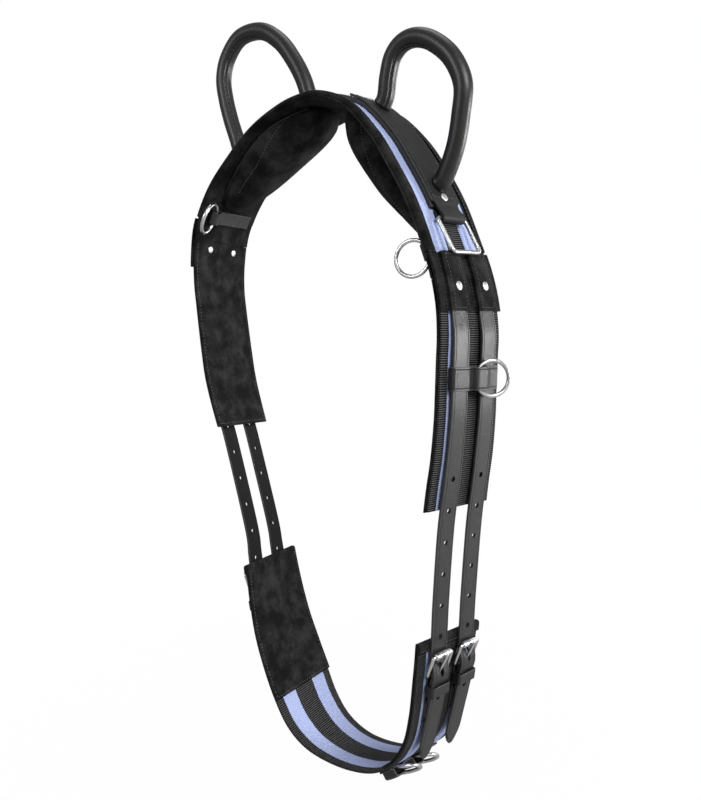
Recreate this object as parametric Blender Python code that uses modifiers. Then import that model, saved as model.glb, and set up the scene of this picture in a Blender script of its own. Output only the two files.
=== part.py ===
# Lunging girth, buckled as a closed loop.
# X runs across the horse, Y along the horse with the front edge at -Y, Z up.
# The origin lies under the crown of the girth, on the side that rests on the horse.

import math

import bmesh
import bpy
from mathutils import Matrix, Vector

MM = 0.001
AIR = 0.3
STEPS_ROUND = 120
BEND_STEP = 5.0
COLUMN = 50.0

# The line of the webbing as it hangs, in mm from the crown: across, up, twist in degrees.
# It starts at the crown, runs down the near side, under the belly and up the far side.
HANGING_LINE = [
    (8, 3, 4), (46, -12, 7), (82, -48, 9), (107, -85, 10), (127, -120, 10),
    (144, -160, 10), (157, -196, 11), (165, -230, 12), (168, -262, 13), (167.3, -292, 13),
    (166.6, -322, 13), (165.9, -352, 13.4), (163, -392, 14), (158, -430, 14.6), (154, -470, 15),
    (151, -512, 15), (149, -556, 14.6), (147, -600, 14), (143, -640, 13), (138, -680, 12),
    (129, -715, 11), (110, -746, 10.5), (81, -766, 10), (47, -775, 10), (12, -775, 9),
    (-19, -765, 4.5), (-43, -744, -1.5), (-61, -714, -5), (-78, -679, -5), (-93, -642, -3),
    (-104, -602, 0), (-112, -562, 3), (-119, -520, 5.5), (-130, -474, 7), (-144, -428, 7),
    (-160, -384, 6.2), (-173, -346, 5.5), (-181.5, -316, 5.2), (-186.8, -286, 5.4), (-191.4, -256, 5.8),
    (-195.6, -226, 6.2), (-199, -196, 6.2), (-198, -160, 5.5), (-190, -120, 4.5), (-166, -80, 3.5),
    (-132, -48, 2.5), (-94, -20, 2), (-54, -3, 2), (-22, 4, 3),
]

# Webbing and the suede sewn to it.
WEB_WIDTH = 100.0
WEB_THICK = 3.0
SUEDE_THICK = 2.0
RIM_WIDTH = 10.0
FLAP_END = 514.0

# Cushions under the crown.
PAD_START = 14.0
PAD_FRONT = 0.47 * WEB_WIDTH
PAD_BACK = 0.62 * WEB_WIDTH
PAD_DEPTH = 45.0

# Leather on the crown, and the handles.
STRAP_WIDTH = 50.0
STRAP_THICK = 4.5
PLATE_THICK = 2.8
LEG_UPPER = 48.0
LEG_LOWER = 163.0
PLATE_START = LEG_UPPER - 26
PLATE_END = LEG_LOWER + 29
ROD_RADIUS = 5.0
COVER_RADIUS = 10.5
FOOT_LENGTH = 31.0
FOOT_WIDTH = 18.0
FOOT_THICK = 2.6
STUD_RADIUS = 2.5
STUD_HEAD = 5.0

# The bend of each handle, near and far: shares of the distance between its legs, and mm outward.
HANDLE_ARCH = {
    1: [
        (-0.655, 35), (-0.745, 52), (-0.745, 69), (-0.655, 84), (-0.48, 95), (-0.22, 100),
        (0.04, 93), (0.225, 73), (0.40, 48),
    ],
    -1: [
        (-0.585, 42), (-0.585, 70), (-0.54, 102), (-0.40, 132), (-0.14, 149), (0.12, 143),
        (0.29, 126), (0.38, 102), (0.44, 75), (0.48, 48),
    ],
}

# Hardware.
SQUARE_AT = PLATE_END + 11
SQUARE_WIDTH = 54.0
SQUARE_HEIGHT = 46.0
SQUARE_WIRE = 2.3
RING_RADIUS = 19.0
RING_WIRE = 2.2

# Straps that carry the belly girth.
PATCH_START = SQUARE_AT + 38
PATCH_LENGTH = 62.0
PATCH_END = PATCH_START + PATCH_LENGTH
BILLET_WIDTH = 25.0
BILLET_THICK = 3.5
BILLET_SIDE = 0.235 * WEB_WIDTH
BILLET_START = PATCH_START + 5
BILLET_LENGTH = 559.0
BILLET_LIFT = 6.2
RIVET_AT = PATCH_START + 37
FIRST_HOLE = 478.0
HOLE_PITCH = 35.0
HOLE_COUNT = 8
HOLE_RADIUS = 2.7
KEEPER_AT = 373.0
CROSS_LENGTH = 25.0
RING_STRAP_AT = PATCH_START - 8
FRONT_RING_INSET = 16.0
PADDED_END = PATCH_START + 21
PAD_END = RING_STRAP_AT - 11

# Belly girth and its buckles.
HOLE_IN_USE = {1: 6, -1: 7}
HOLE_TO_ROLLER = 16.0
ROLLER_TO_END = 12.0
HEEL_AT = 24.0
CHAPE_WIDTH = 22.0
CHAPE_LENGTH = 82.0
LEATHER = 2.2
BUCKLE_WIRE = 2.0
BUCKLE_WIDTH = 31.0
ROLLER_RADIUS = 3.5
TONGUE_RADIUS = 1.6
BELLY_LINING = 170.0
BELLY_STRAP_AT = 175.0
BELLY_STRAP_WIDTH = 18.0

# Heights above the middle of the webbing that follow from the thicknesses.
WEB_FACE = WEB_THICK / 2
LAYER_1 = WEB_FACE + AIR
LINING_OUT = -WEB_FACE - AIR
LINING_IN = LINING_OUT - SUEDE_THICK
STRAP_FACE = LAYER_1 + STRAP_THICK
PLATE_LOW = STRAP_FACE + AIR
PLATE_FACE = PLATE_LOW + PLATE_THICK
BILLET_HALF = BILLET_THICK / 2
HEEL_HEIGHT = LAYER_1 + LEATHER + BUCKLE_WIRE + AIR
ROLLER_HEIGHT = LAYER_1 + SUEDE_THICK + BILLET_THICK + ROLLER_RADIUS + 4 * AIR

MATERIALS = {
    "black webbing": ((0.012, 0.012, 0.013), 0.85, 0.0),
    "suede": ((0.014, 0.014, 0.014), 0.95, 0.0),
    "leather": ((0.02, 0.02, 0.021), 0.45, 0.0),
    "nickel": ((0.78, 0.78, 0.77), 0.18, 1.0),
    "steel": ((0.35, 0.35, 0.36), 0.4, 1.0),
}


def clear_scene():
    for obj in list(bpy.data.objects):
        bpy.data.objects.remove(obj, do_unlink=True)


def make_collection(name, hidden):
    collection = bpy.data.collections.new(name)
    collection.hide_render = hidden
    bpy.context.scene.collection.children.link(collection)
    return collection


def make_material(name):
    colour, roughness, metallic = MATERIALS[name]
    material = bpy.data.materials.get(name) or bpy.data.materials.new(name)
    material.use_nodes = True
    shader = material.node_tree.nodes["Principled BSDF"]
    shader.inputs["Base Color"].default_value = (*colour, 1.0)
    shader.inputs["Roughness"].default_value = roughness
    shader.inputs["Metallic"].default_value = metallic
    material.diffuse_color = (*colour, 1.0)
    return material


class Line:
    """A smooth line in the XZ plane, measured along its length in mm, with a twist about itself."""

    def __init__(self, stations, closed=False, start=0.0, side=1):
        self.closed = closed
        self.side = side
        count = len(stations)
        spans = count if closed else count - 1
        self.rows = []
        for i in range(spans):
            a, b, c, d = (self.pick(stations, i + k) for k in (-1, 0, 1, 2))
            for j in range(24):
                u = j / 24
                self.rows.append([spline(a[n], b[n], c[n], d[n], u) for n in range(4)])
        self.rows.append(list(stations[0] if closed else stations[-1]))
        self.at = [start]
        for a, b in zip(self.rows, self.rows[1:]):
            self.at.append(self.at[-1] + math.hypot(b[0] - a[0], b[1] - a[1]))
        self.length = self.at[-1] - start

    def pick(self, stations, i):
        count = len(stations)
        if self.closed:
            return stations[i % count]
        if i < 0:
            return [2 * p - q for p, q in zip(stations[0], stations[1])]
        if i >= count:
            return [2 * p - q for p, q in zip(stations[-1], stations[-2])]
        return stations[i]

    def sample(self, s):
        if self.closed:
            s = (s - self.at[0]) % self.length + self.at[0]
        s = min(max(s, self.at[0]), self.at[-1] - 1e-6)
        low, high = 0, len(self.at) - 1
        while high - low > 1:
            middle = (low + high) // 2
            low, high = (middle, high) if self.at[middle] <= s else (low, middle)
        u = (s - self.at[low]) / (self.at[high] - self.at[low])
        return [p + (q - p) * u for p, q in zip(self.rows[low], self.rows[high])]

    def frame(self, s):
        """The point on the line, then its along, across and outward directions."""
        if not self.closed and s > self.at[-1] - 4:
            over = s - self.at[-1] + 4
            point, along, across, out = self.frame(self.at[-1] - 4)
            return point + along * over, along, across, out
        before, here, after = self.sample(s - 4), self.sample(s), self.sample(s + 4)
        along = Vector((after[0] - before[0], 0, after[1] - before[1])).normalized()
        out = along.cross(Vector((0, 1, 0))) * self.side
        turn = math.radians(here[2])
        across = Vector((0, math.cos(turn), 0)) + out * math.sin(turn)
        out = out * math.cos(turn) - Vector((0, math.sin(turn), 0))
        return Vector((here[0], here[3], here[1])), along, across, out

    def place(self, s, y, h):
        point, _, across, out = self.frame(s)
        return (point + across * y + out * h) * MM

    def matrix(self, side, s, y=0.0, h=0.0):
        """A frame at a point: X down the strap, Y across it, Z outward."""
        _, along, across, out = self.frame(side * s)
        spot = self.place(side * s, y, h)
        rows = (along * side, across * side, out)
        return Matrix.Translation(spot) @ Matrix(rows).transposed().to_4x4()

    def offset(self, points):
        """The stations of a second line outside this one, from pairs of length and height."""
        stations = []
        for s, h in points:
            point, _, _, out = self.frame(s)
            point = point + out * h
            stations.append((point.x, point.z, self.sample(s)[2], point.y))
        return stations


def spline(a, b, c, d, u):
    return 0.5 * (2 * b + (c - a) * u + (2 * a - 5 * b + 4 * c - d) * u**2 + (3 * b - a - 3 * c + d) * u**3)


def smooth(points, steps=6):
    """A rounded line through some points, as pairs."""
    ends = [[2 * p - q for p, q in zip(points[0], points[1])], *points]
    ends.append([2 * p - q for p, q in zip(points[-1], points[-2])])
    found = []
    for a, b, c, d in zip(ends, ends[1:], ends[2:], ends[3:]):
        found += [tuple(spline(*n, j / steps) for n in zip(a, b, c, d)) for j in range(steps)]
    return [*found, tuple(points[-1])]


def ribbon(points, thick):
    """The outline of a strap of even thickness seen edge on, from the line through its middle."""
    left, right = [], []
    for i, (x, y) in enumerate(points):
        x0, y0 = points[max(i - 1, 0)]
        x1, y1 = points[min(i + 1, len(points) - 1)]
        size = math.hypot(x1 - x0, y1 - y0)
        nx, ny = (y0 - y1) / size, (x1 - x0) / size
        left.append((x + nx * thick / 2, y + ny * thick / 2))
        right.append((x - nx * thick / 2, y - ny * thick / 2))
    return left + right[::-1]


def circle(x, y, radius, count=12, reach=0.0):
    """A round hole, drawn out by reach on each side along x when it is a slot."""
    points = []
    for i in range(count):
        turn = math.tau * (i + 0.5) / count
        shift = reach if math.cos(turn) > 0 else -reach
        points.append((x + shift + radius * math.cos(turn), y + radius * math.sin(turn)))
    return points


def rectangle(x0, x1, y0, y1, corner=0.0):
    if not corner:
        return [(x0, y0), (x1, y0), (x1, y1), (x0, y1)]
    points = []
    for cx, cy, first in ((x1, y1, 0), (x0, y1, 1), (x0, y0, 2), (x1, y0, 3)):
        mx = cx - math.copysign(corner, cx - (x0 + x1) / 2)
        my = cy - math.copysign(corner, cy - (y0 + y1) / 2)
        for k in range(4):
            turn = math.pi / 2 * (first + k / 3)
            points.append((mx + corner * math.cos(turn), my + corner * math.sin(turn)))
    return points


def arc(cx, cy, radius, start, end, steps=12):
    turns = [math.radians(start + (end - start) * i / steps) for i in range(steps + 1)]
    return [(cx + radius * math.cos(t), cy + radius * math.sin(t)) for t in turns]


def flat_curve(loops, low, high):
    """The mesh of a flat filled outline with holes, from low to high along its own Z."""
    curve = bpy.data.curves.new("outline", "CURVE")
    curve.dimensions = "2D"
    curve.fill_mode = "BOTH"
    curve.extrude = (high - low) / 2
    for loop in loops:
        line = curve.splines.new("POLY")
        line.points.add(len(loop) - 1)
        for point, (x, y) in zip(line.points, loop):
            point.co = (x, y, 0, 1)
        line.use_cyclic_u = True
    obj = bpy.data.objects.new("outline", curve)
    bpy.context.scene.collection.objects.link(obj)
    bpy.context.view_layer.update()
    mesh = bpy.data.meshes.new_from_object(obj.evaluated_get(bpy.context.evaluated_depsgraph_get()))
    bpy.data.objects.remove(obj, do_unlink=True)
    mesh.transform(Matrix.Translation((0, 0, (low + high) / 2)))
    return mesh


# How a sketch turns into lengths along, across and outward.
# A sheet is drawn face on, a section as seen along the strap, a profile as seen from its edge.
SHEET = Matrix.Identity(4)
SECTION = Matrix(((0, 0, 1, 0), (1, 0, 0, 0), (0, 1, 0, 0), (0, 0, 0, 1)))
PROFILE = Matrix(((1, 0, 0, 0), (0, 0, 1, 0), (0, 1, 0, 0), (0, 0, 0, 1)))


def cut_at(bm, axis, size, start=-math.inf, end=math.inf):
    """Adds edges across the mesh at every multiple of a size, so that it can bend there."""
    values = [v.co[axis] for v in bm.verts]
    normal = Vector([float(i == axis) for i in range(3)])
    low, high = max(min(values), start), min(max(values), end)
    for k in range(math.floor(low / size) + 1, math.ceil(high / size)):
        everything = bm.verts[:] + bm.edges[:] + bm.faces[:]
        place = normal * k * size
        cut = bmesh.ops.bisect_plane(bm, geom=everything, dist=0.02, plane_co=place, plane_no=normal)
        for edge in cut["geom_cut"]:
            if isinstance(edge, bmesh.types.BMEdge):
                edge.seam = True


def flat_piece(pieces, side=1):
    """One flat solid joined from sketches given as loops, low, high and the way the sketch lies."""
    made = []
    for loops, low, high, lie in pieces:
        mesh = flat_curve(loops, low, high)
        mesh.transform(lie)
        obj = bpy.data.objects.new("flat", mesh)
        bpy.context.scene.collection.objects.link(obj)
        made.append(obj)
        bm = bmesh.new()
        bm.from_mesh(mesh)
        bmesh.ops.remove_doubles(bm, verts=bm.verts, dist=0.002)
        bmesh.ops.recalc_face_normals(bm, faces=bm.faces)
        bm.to_mesh(mesh)
        bm.free()
    for extra in made[1:]:
        join = made[0].modifiers.new("join", "BOOLEAN")
        join.operation = "UNION"
        join.solver = "EXACT"
        join.object = extra
    bpy.context.view_layer.update()
    depsgraph = bpy.context.evaluated_depsgraph_get()
    mesh = bpy.data.meshes.new_from_object(made[0].evaluated_get(depsgraph))
    for obj in made:
        bpy.data.objects.remove(obj, do_unlink=True)
    if side < 0:
        mesh.transform(Matrix.Diagonal((-1, 1, 1, 1)))
    return mesh


def finish(name, mesh, materials, bent=None):
    mesh.name = name
    for material in materials:
        mesh.materials.append(make_material(material))
    obj = bpy.data.objects.new(name, mesh)
    GIRTH.objects.link(obj)
    bm = bmesh.new()
    bm.from_mesh(mesh)
    if bent:
        bent(bm)
    bmesh.ops.remove_doubles(bm, verts=bm.verts, dist=0.00001)
    bmesh.ops.recalc_face_normals(bm, faces=bm.faces)
    bm.to_mesh(mesh)
    bm.free()
    return obj


def wrap(name, material, pieces, side=1, line=None, joint=None, bends=None):
    """Cuts a flat piece into short lengths and lays it along the line of the girth."""
    path = line or GIRTH_LINE

    def bend(bm):
        bmesh.ops.remove_doubles(bm, verts=bm.verts, dist=0.002)
        bmesh.ops.dissolve_limit(bm, angle_limit=0.01, verts=bm.verts, edges=bm.edges)
        cut_at(bm, 0, STEP)
        cut_at(bm, 1, COLUMN)
        if bends:
            cut_at(bm, 0, *bends)
        bmesh.ops.dissolve_limit(
            bm, angle_limit=0.01, verts=bm.verts, edges=bm.edges, delimit={"SEAM"}
        )
        for vert in bm.verts:
            s, y, h = vert.co
            vert.co = path.place(s, y, h)

    obj = finish(name, flat_piece(pieces, side), [material], bend)
    if joint is not None:
        put_origin(obj, joint)
    return obj


def put_origin(obj, matrix):
    """Moves the origin of an object to a joint without moving its shape."""
    obj.data.transform(matrix.inverted())
    obj.matrix_world = matrix


def wire(name, material, points, radius, matrix, closed=True, resolution=2):
    """A bent round bar through points given in mm, standing in its own frame."""
    curve = bpy.data.curves.new(name, "CURVE")
    curve.dimensions = "3D"
    curve.bevel_depth = radius * MM
    curve.bevel_resolution = resolution
    curve.use_fill_caps = not closed
    line = curve.splines.new("POLY")
    line.points.add(len(points) - 1)
    for point, co in zip(line.points, points):
        point.co = (*(value * MM for value in co), 1)
    line.use_cyclic_u = closed
    obj = bpy.data.objects.new(name, curve)
    bpy.context.scene.collection.objects.link(obj)
    bpy.context.view_layer.update()
    mesh = bpy.data.meshes.new_from_object(obj.evaluated_get(bpy.context.evaluated_depsgraph_get()))
    bpy.data.objects.remove(obj, do_unlink=True)
    made = finish(name, mesh, [material])
    made.matrix_world = matrix
    return made


def turned(name, material, profile, matrix, count=12):
    """A solid of revolution about Z from a profile of radius and height pairs in mm."""
    mesh = bpy.data.meshes.new(name)
    bm = bmesh.new()
    verts = [bm.verts.new((r * MM, 0, z * MM)) for r, z in profile]
    closed = min(r for r, _ in profile) > 0
    edges = [bm.edges.new(pair) for pair in zip(verts, verts[1:])]
    if closed:
        edges.append(bm.edges.new((verts[-1], verts[0])))
    bmesh.ops.spin(
        bm, geom=verts + edges, cent=(0, 0, 0), axis=(0, 0, 1), angle=math.tau, steps=count, use_merge=True
    )
    bmesh.ops.remove_doubles(bm, verts=bm.verts, dist=0.000001)
    bm.to_mesh(mesh)
    bm.free()
    made = finish(name, mesh, [material])
    made.matrix_world = matrix
    return made


def cut_or_join(obj, others, operation):
    """Cuts other solids out of an object or joins them to it, and keeps them as hidden cutters."""
    for other in others:
        step = obj.modifiers.new(operation.lower(), "BOOLEAN")
        step.operation = operation
        step.solver = "EXACT"
        step.object = other
        GIRTH.objects.unlink(other)
        CUTTERS.objects.link(other)
        other.name = obj.name + "_" + other.name
        other.hide_render = True
        other.display_type = "WIRE"


def side_name(side):
    return "near" if side > 0 else "far"


def edge_name(place):
    return "front" if place < 0 else "rear"


clear_scene()
GIRTH = make_collection("Lunging girth", False)
CUTTERS = make_collection("Cutters", True)
GIRTH_LINE = Line([(*station, 0.0) for station in HANGING_LINE], closed=True)
STEP = GIRTH_LINE.length / STEPS_ROUND


def make_upper_webbing():
    half = WEB_WIDTH / 2
    outline = rectangle(-FLAP_END, FLAP_END, -half, half)
    rivets = [(side * RIVET_AT, y) for side in (1, -1) for y in (-BILLET_SIDE, BILLET_SIDE)]
    holes = [circle(s, y, STUD_RADIUS) for s, y in rivets]
    wrap("upper_webbing", "black webbing", [([outline, *holes], -WEB_FACE, WEB_FACE, SHEET)])


def make_upper_lining():
    """Suede under the crown, folded over both edges of the webbing as a rim."""
    half = WEB_WIDTH / 2
    inner = half + AIR
    outer = inner + SUEDE_THICK
    fold = half - RIM_WIDTH + SUEDE_THICK
    top = LAYER_1 + SUEDE_THICK
    outline = [
        (-outer, LINING_IN), (outer, LINING_IN), (outer, top), (fold, top), (fold, LAYER_1),
        (inner, LAYER_1), (inner, LINING_OUT), (-inner, LINING_OUT), (-inner, LAYER_1),
        (-fold, LAYER_1), (-fold, top), (-outer, top),
    ]
    end = PATCH_START - 3
    lining = rectangle(-padded_end(), padded_end(), -outer, outer)
    pieces = [([outline], -end, end, SECTION), ([lining], LINING_IN, LINING_OUT, SHEET)]
    wrap("upper_lining", "suede", pieces)


def padded_end():
    """Where the lining of the crown stops, on one of the places where the webbing bends."""
    return round(PADDED_END / STEP) * STEP


def make_flap_lining(side):
    half = WEB_WIDTH / 2 + 1.5
    outline = rectangle(padded_end() + AIR, FLAP_END + 1, -half, half)
    holes = [circle(RIVET_AT, y, STUD_RADIUS) for y in (-BILLET_SIDE, BILLET_SIDE)]
    pieces = [([outline, *holes], LINING_IN, LINING_OUT, SHEET)]
    wrap(side_name(side) + "_flap_lining", "suede", pieces, side)


def make_pad(side):
    """A stuffed leaf of suede: flat against the lining, crowned on the side that meets the horse."""
    count = 9
    top = LINING_IN - AIR
    mesh = bpy.data.meshes.new("pad")
    bm = bmesh.new()
    rows = []
    for i in range(count):
        u = i / (count - 1)
        swell = math.sin(math.pi * (0.06 + 0.88 * u**0.8)) ** 0.7
        s = PAD_START + (PAD_END - PAD_START) * u
        front = PAD_FRONT * (0.35 + 0.65 * swell)
        back = PAD_BACK * swell
        depth = 5 + PAD_DEPTH * swell
        section = [
            (-front, -1), (-front * 0.45, 0), (back * 0.4, 0), (back * 0.8, -1),
            (back, -0.15 * depth), (back * 0.76, -0.44 * depth), (back * 0.22, -0.86 * depth),
            (-front * 0.45, -depth), (-front * 0.97, -0.72 * depth),
        ]
        rows.append([bm.verts.new(GIRTH_LINE.place(side * s, y, top + h)) for y, h in section])
    for a, b in zip(rows, rows[1:]):
        for j in range(len(a)):
            k = (j + 1) % len(a)
            bm.faces.new((a[j], a[k], b[k], b[j]))
    bm.faces.new(rows[0][::-1])
    bm.faces.new(rows[-1])
    bm.to_mesh(mesh)
    bm.free()
    obj = finish(side_name(side) + "_pad", mesh, ["suede"])
    rounding = obj.modifiers.new("rounding", "SUBSURF")
    rounding.levels = rounding.render_levels = 1


def make_top_strap():
    """Doubled leather along the crown, with openings that hold the feet of the handles."""
    half = STRAP_WIDTH / 2
    outline = rectangle(-PLATE_END + 2, PLATE_END - 2, -half, half)
    loops = [outline]
    for side in (1, -1):
        for start, end in foot_spans():
            low, high = sorted((side * (start - 0.5), side * (end + 0.5)))
            loops.append(rectangle(low, high, -FOOT_WIDTH / 2 - 0.5, FOOT_WIDTH / 2 + 0.5))
    wrap("top_strap", "leather", [(loops, LAYER_1 + AIR, STRAP_FACE, SHEET)])


def foot_spans():
    """Where the foot of each leg starts and ends along the girth."""
    reach = FOOT_LENGTH - ROD_RADIUS - 5
    return [(LEG_UPPER - reach, LEG_UPPER + ROD_RADIUS + 5), (LEG_LOWER - ROD_RADIUS - 5, LEG_LOWER + reach)]


def stud_places():
    return [LEG_UPPER - 16, LEG_LOWER + 16]


def make_handle_plate(side):
    """Leather over the feet of a handle, rolled round the top bar of the square ring at its end."""
    half = STRAP_WIDTH / 2
    roll = SQUARE_WIDTH / 2 - SQUARE_WIRE - 5
    loops = [rectangle(PLATE_START, PLATE_END - 4, -half, half, 2)]
    loops += [circle(s, 0, ROD_RADIUS + 0.6, 12, 1.0) for s in (LEG_UPPER, LEG_LOWER)]
    loops += [circle(s, 0, STUD_RADIUS + 0.3) for s in stud_places()]
    middle = PLATE_FACE - PLATE_THICK / 2
    around = SQUARE_WIRE + AIR + 0.1 + PLATE_THICK / 2
    height = square_height()
    edge = [(PLATE_END - 8, middle), (PLATE_END - 4, middle)]
    edge += [(SQUARE_AT - 5, height + around - 0.8)]
    edge += arc(SQUARE_AT, height, around, 90, -90, 8)
    edge += [(PLATE_END + 0.6, height - around)]
    pieces = [(loops, PLATE_LOW, PLATE_FACE, SHEET), ([ribbon(edge, PLATE_THICK)], -roll, roll, PROFILE)]
    wrap(side_name(side) + "_handle_plate", "leather", pieces, side)


def square_height():
    return LAYER_1 + PLATE_THICK + SQUARE_WIRE + AIR + 0.2


def handle_points(side):
    """The middle line of a handle in mm, from the webbing at one leg to the webbing at the other."""
    feet = [GIRTH_LINE.frame(side * s) for s in (LEG_UPPER, LEG_LOWER)]
    upper, lower = (frame[0] for frame in feet)
    middle = (upper + lower) / 2
    down = (lower - upper).normalized()
    out = feet[0][3] + feet[1][3]
    out = (out - down * out.dot(down)).normalized()
    apart = (lower - upper).length
    arch = [tuple(middle + down * u * apart + out * v) for u, v in HANDLE_ARCH[side]]
    starts = [tuple(feet[0][0] + feet[0][3] * h) for h in (FOOT_THICK, 19)]
    ends = [tuple(feet[1][0] + feet[1][3] * h) for h in (19, FOOT_THICK)]
    return smooth(starts + arch + ends, 3)


def trim(points, start, end):
    """The part of a line that is left when a length is taken off each of its ends."""
    for length in (start, end):
        while length > 0:
            a, b = Vector(points[0]), Vector(points[1])
            size = (b - a).length
            if size > length + 0.2:
                points = [tuple(a + (b - a) * (length / size)), *points[1:]]
                length = 0
            else:
                points = points[1:]
                length -= size
        points = points[::-1]
    return points


def make_handle(side):
    name = side_name(side)
    points = handle_points(side)
    still = Matrix.Identity(4)
    core = wire(name + "_handle_core", "steel", points, ROD_RADIUS, still, closed=False)
    extras = []
    for (start, end), stud in zip(foot_spans(), stud_places()):
        outline = rectangle(start, end, -FOOT_WIDTH / 2, FOOT_WIDTH / 2)
        extras.append(wrap("foot", "steel", [([outline], LAYER_1, LAYER_1 + FOOT_THICK, SHEET)], side))
        low = LAYER_1 + 0.5
        face = PLATE_FACE + 0.1
        profile = [
            (0, low), (STUD_RADIUS, low), (STUD_RADIUS, face), (STUD_HEAD, face),
            (STUD_HEAD, face + 0.7), (STUD_HEAD * 0.8, face + 1.5), (0, face + 1.7),
        ]
        extras.append(turned("stud", "steel", profile, GIRTH_LINE.matrix(side, stud)))
    cut_or_join(core, extras, "UNION")
    clear = PLATE_FACE + AIR - FOOT_THICK
    cover_line = trim(points, clear + 2.0, clear + 3.0)
    cover = wire(name + "_handle_cover", "leather", cover_line, COVER_RADIUS, still, False, 3)
    bore = wire("bore", "leather", points, ROD_RADIUS + AIR, still, False, 2)
    cut_or_join(cover, [bore], "DIFFERENCE")


def rounded_wire(width, height, corner):
    """Points of a bent rectangle in the XY plane: its top bar lies on Y at X zero."""
    loop = rectangle(0, height, -width / 2, width / 2, corner)
    return [(x, y, 0) for x, y in loop]


def ring_wire(radius, shift):
    return [(radius + shift - radius * math.cos(t), radius * math.sin(t), 0) for t in turns(18)]


def turns(count):
    return [math.tau * i / count for i in range(count)]


def make_square_ring(side):
    """Hangs from the rolled end of the handle plate and rests on the billet patch."""
    bar = GIRTH_LINE.matrix(side, SQUARE_AT, 0, square_height())
    tilt = Matrix.Rotation(math.radians(-6), 4, "Y")
    points = rounded_wire(SQUARE_WIDTH - 2 * SQUARE_WIRE, SQUARE_HEIGHT - 2 * SQUARE_WIRE, 5)
    wire(side_name(side) + "_square_ring", "nickel", points, SQUARE_WIRE, bar @ tilt)


def make_billet_patch(side):
    """Suede across the girth with a raised channel over each billet."""
    half = WEB_WIDTH / 2 + 2.3
    low = LAYER_1 + SUEDE_THICK / 2
    high = LAYER_1 + 5 * AIR + BILLET_THICK + SUEDE_THICK / 2
    reach = BILLET_WIDTH / 2 + 1.6
    rise = [(reach + 3, low), (reach + 1.4, low + 1.2), (reach - 0.4, high - 1.2), (reach - 2.4, high)]
    edge = [(-half, low)]
    for y in (-BILLET_SIDE, BILLET_SIDE):
        edge += [(y - across, h) for across, h in rise] + [(y + across, h) for across, h in rise[::-1]]
    edge += [(half, low)]
    pieces = [([ribbon(edge, SUEDE_THICK)], PATCH_START, PATCH_END, SECTION)]
    patch = wrap(side_name(side) + "_billet_patch", "suede", pieces, side)
    bores = [rivet_bore(side, y) for y in (-BILLET_SIDE, BILLET_SIDE)]
    cut_or_join(patch, bores, "DIFFERENCE")


def rivet_bore(side, y):
    profile = [(0, -2), (STUD_RADIUS, -2), (STUD_RADIUS, 14), (0, 14)]
    return turned("bore", "steel", profile, GIRTH_LINE.matrix(side, RIVET_AT, y), 12)


def make_billet_rivet(side, place):
    y = place * BILLET_SIDE
    shank = STUD_RADIUS - 0.4
    inside = LINING_IN - 0.2
    outside = LAYER_1 + 5 * AIR + BILLET_THICK + SUEDE_THICK + 0.2
    profile = [
        (0, inside - 1.2), (4.0, inside - 1.0), (4.5, inside - 0.5), (4.5, inside), (shank, inside),
        (shank, outside), (STUD_HEAD, outside), (STUD_HEAD, outside + 0.6), (4.0, outside + 1.4),
        (0, outside + 1.7),
    ]
    name = side_name(side) + "_" + edge_name(place) + "_billet_rivet"
    turned(name, "nickel", profile, GIRTH_LINE.matrix(side, RIVET_AT, y))


def roller_place(side):
    """How far along the girth the buckle rollers sit, set by the hole in use."""
    return FIRST_HOLE + HOLE_PITCH * HOLE_IN_USE[side] - HOLE_TO_ROLLER


def belly_end(side):
    return roller_place(side) - ROLLER_TO_END


def billet_line(side):
    """The line through the middle of a billet, which bows out over the buckle's heel bar."""
    roller = roller_place(side)
    flat = LAYER_1 + 2 * AIR + BILLET_HALF
    under = LAYER_1 + SUEDE_THICK + AIR + BILLET_HALF
    over = HEEL_HEIGHT + BUCKLE_WIRE + AIR + LEATHER + AIR + BILLET_HALF
    keeper = pocket_height() + LEATHER / 2 + AIR + BILLET_HALF
    tail = LAYER_1 + 2 * LEATHER + 2 * AIR + BILLET_HALF + 0.4
    heights = [
        (BILLET_START, flat), (BILLET_START + 18, flat), (BILLET_START + 36, flat), (PATCH_END - 5, flat),
        (PATCH_END + 6, flat + 0.2), (PATCH_END + 22, BILLET_LIFT - 0.3), (PATCH_END + 36, BILLET_LIFT),
        (KEEPER_AT, BILLET_LIFT), (KEEPER_AT + 40, BILLET_LIFT),
        (FLAP_END - 40, BILLET_LIFT), (FLAP_END + 20, BILLET_LIFT), (roller - 60, under + 0.1),
        (roller - 25, under), (roller - 8, under), (roller + 2, under + 0.2), (roller + 7, under + 1.8),
        (roller + 15, over - 2.0), (roller + 21, over), (roller + 27, over), (roller + 34, keeper + 0.3),
        (roller + 41, keeper), (roller + 48, keeper), (roller + 56, keeper - 0.8),
        (roller + 68, tail + 0.5), (roller + CHAPE_LENGTH, tail),
    ]
    return Line(GIRTH_LINE.offset([(side * s, h) for s, h in heights]), start=BILLET_START, side=side)


def pocket_height():
    """The middle of the chape's outer layer where the keeper passes under it."""
    return LAYER_1 + LEATHER + AIR + LEATHER + AIR + LEATHER / 2


def along_billet(line, side, s, height):
    """The length along a billet at the place that lies at s along the girth, at a height."""
    target = GIRTH_LINE.place(side * s, 0, height)
    places = [line.at[0] + k * 0.25 for k in range(2400)]
    return min(places, key=lambda at: (line.place(at, 0, 0) - target).length)


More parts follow.
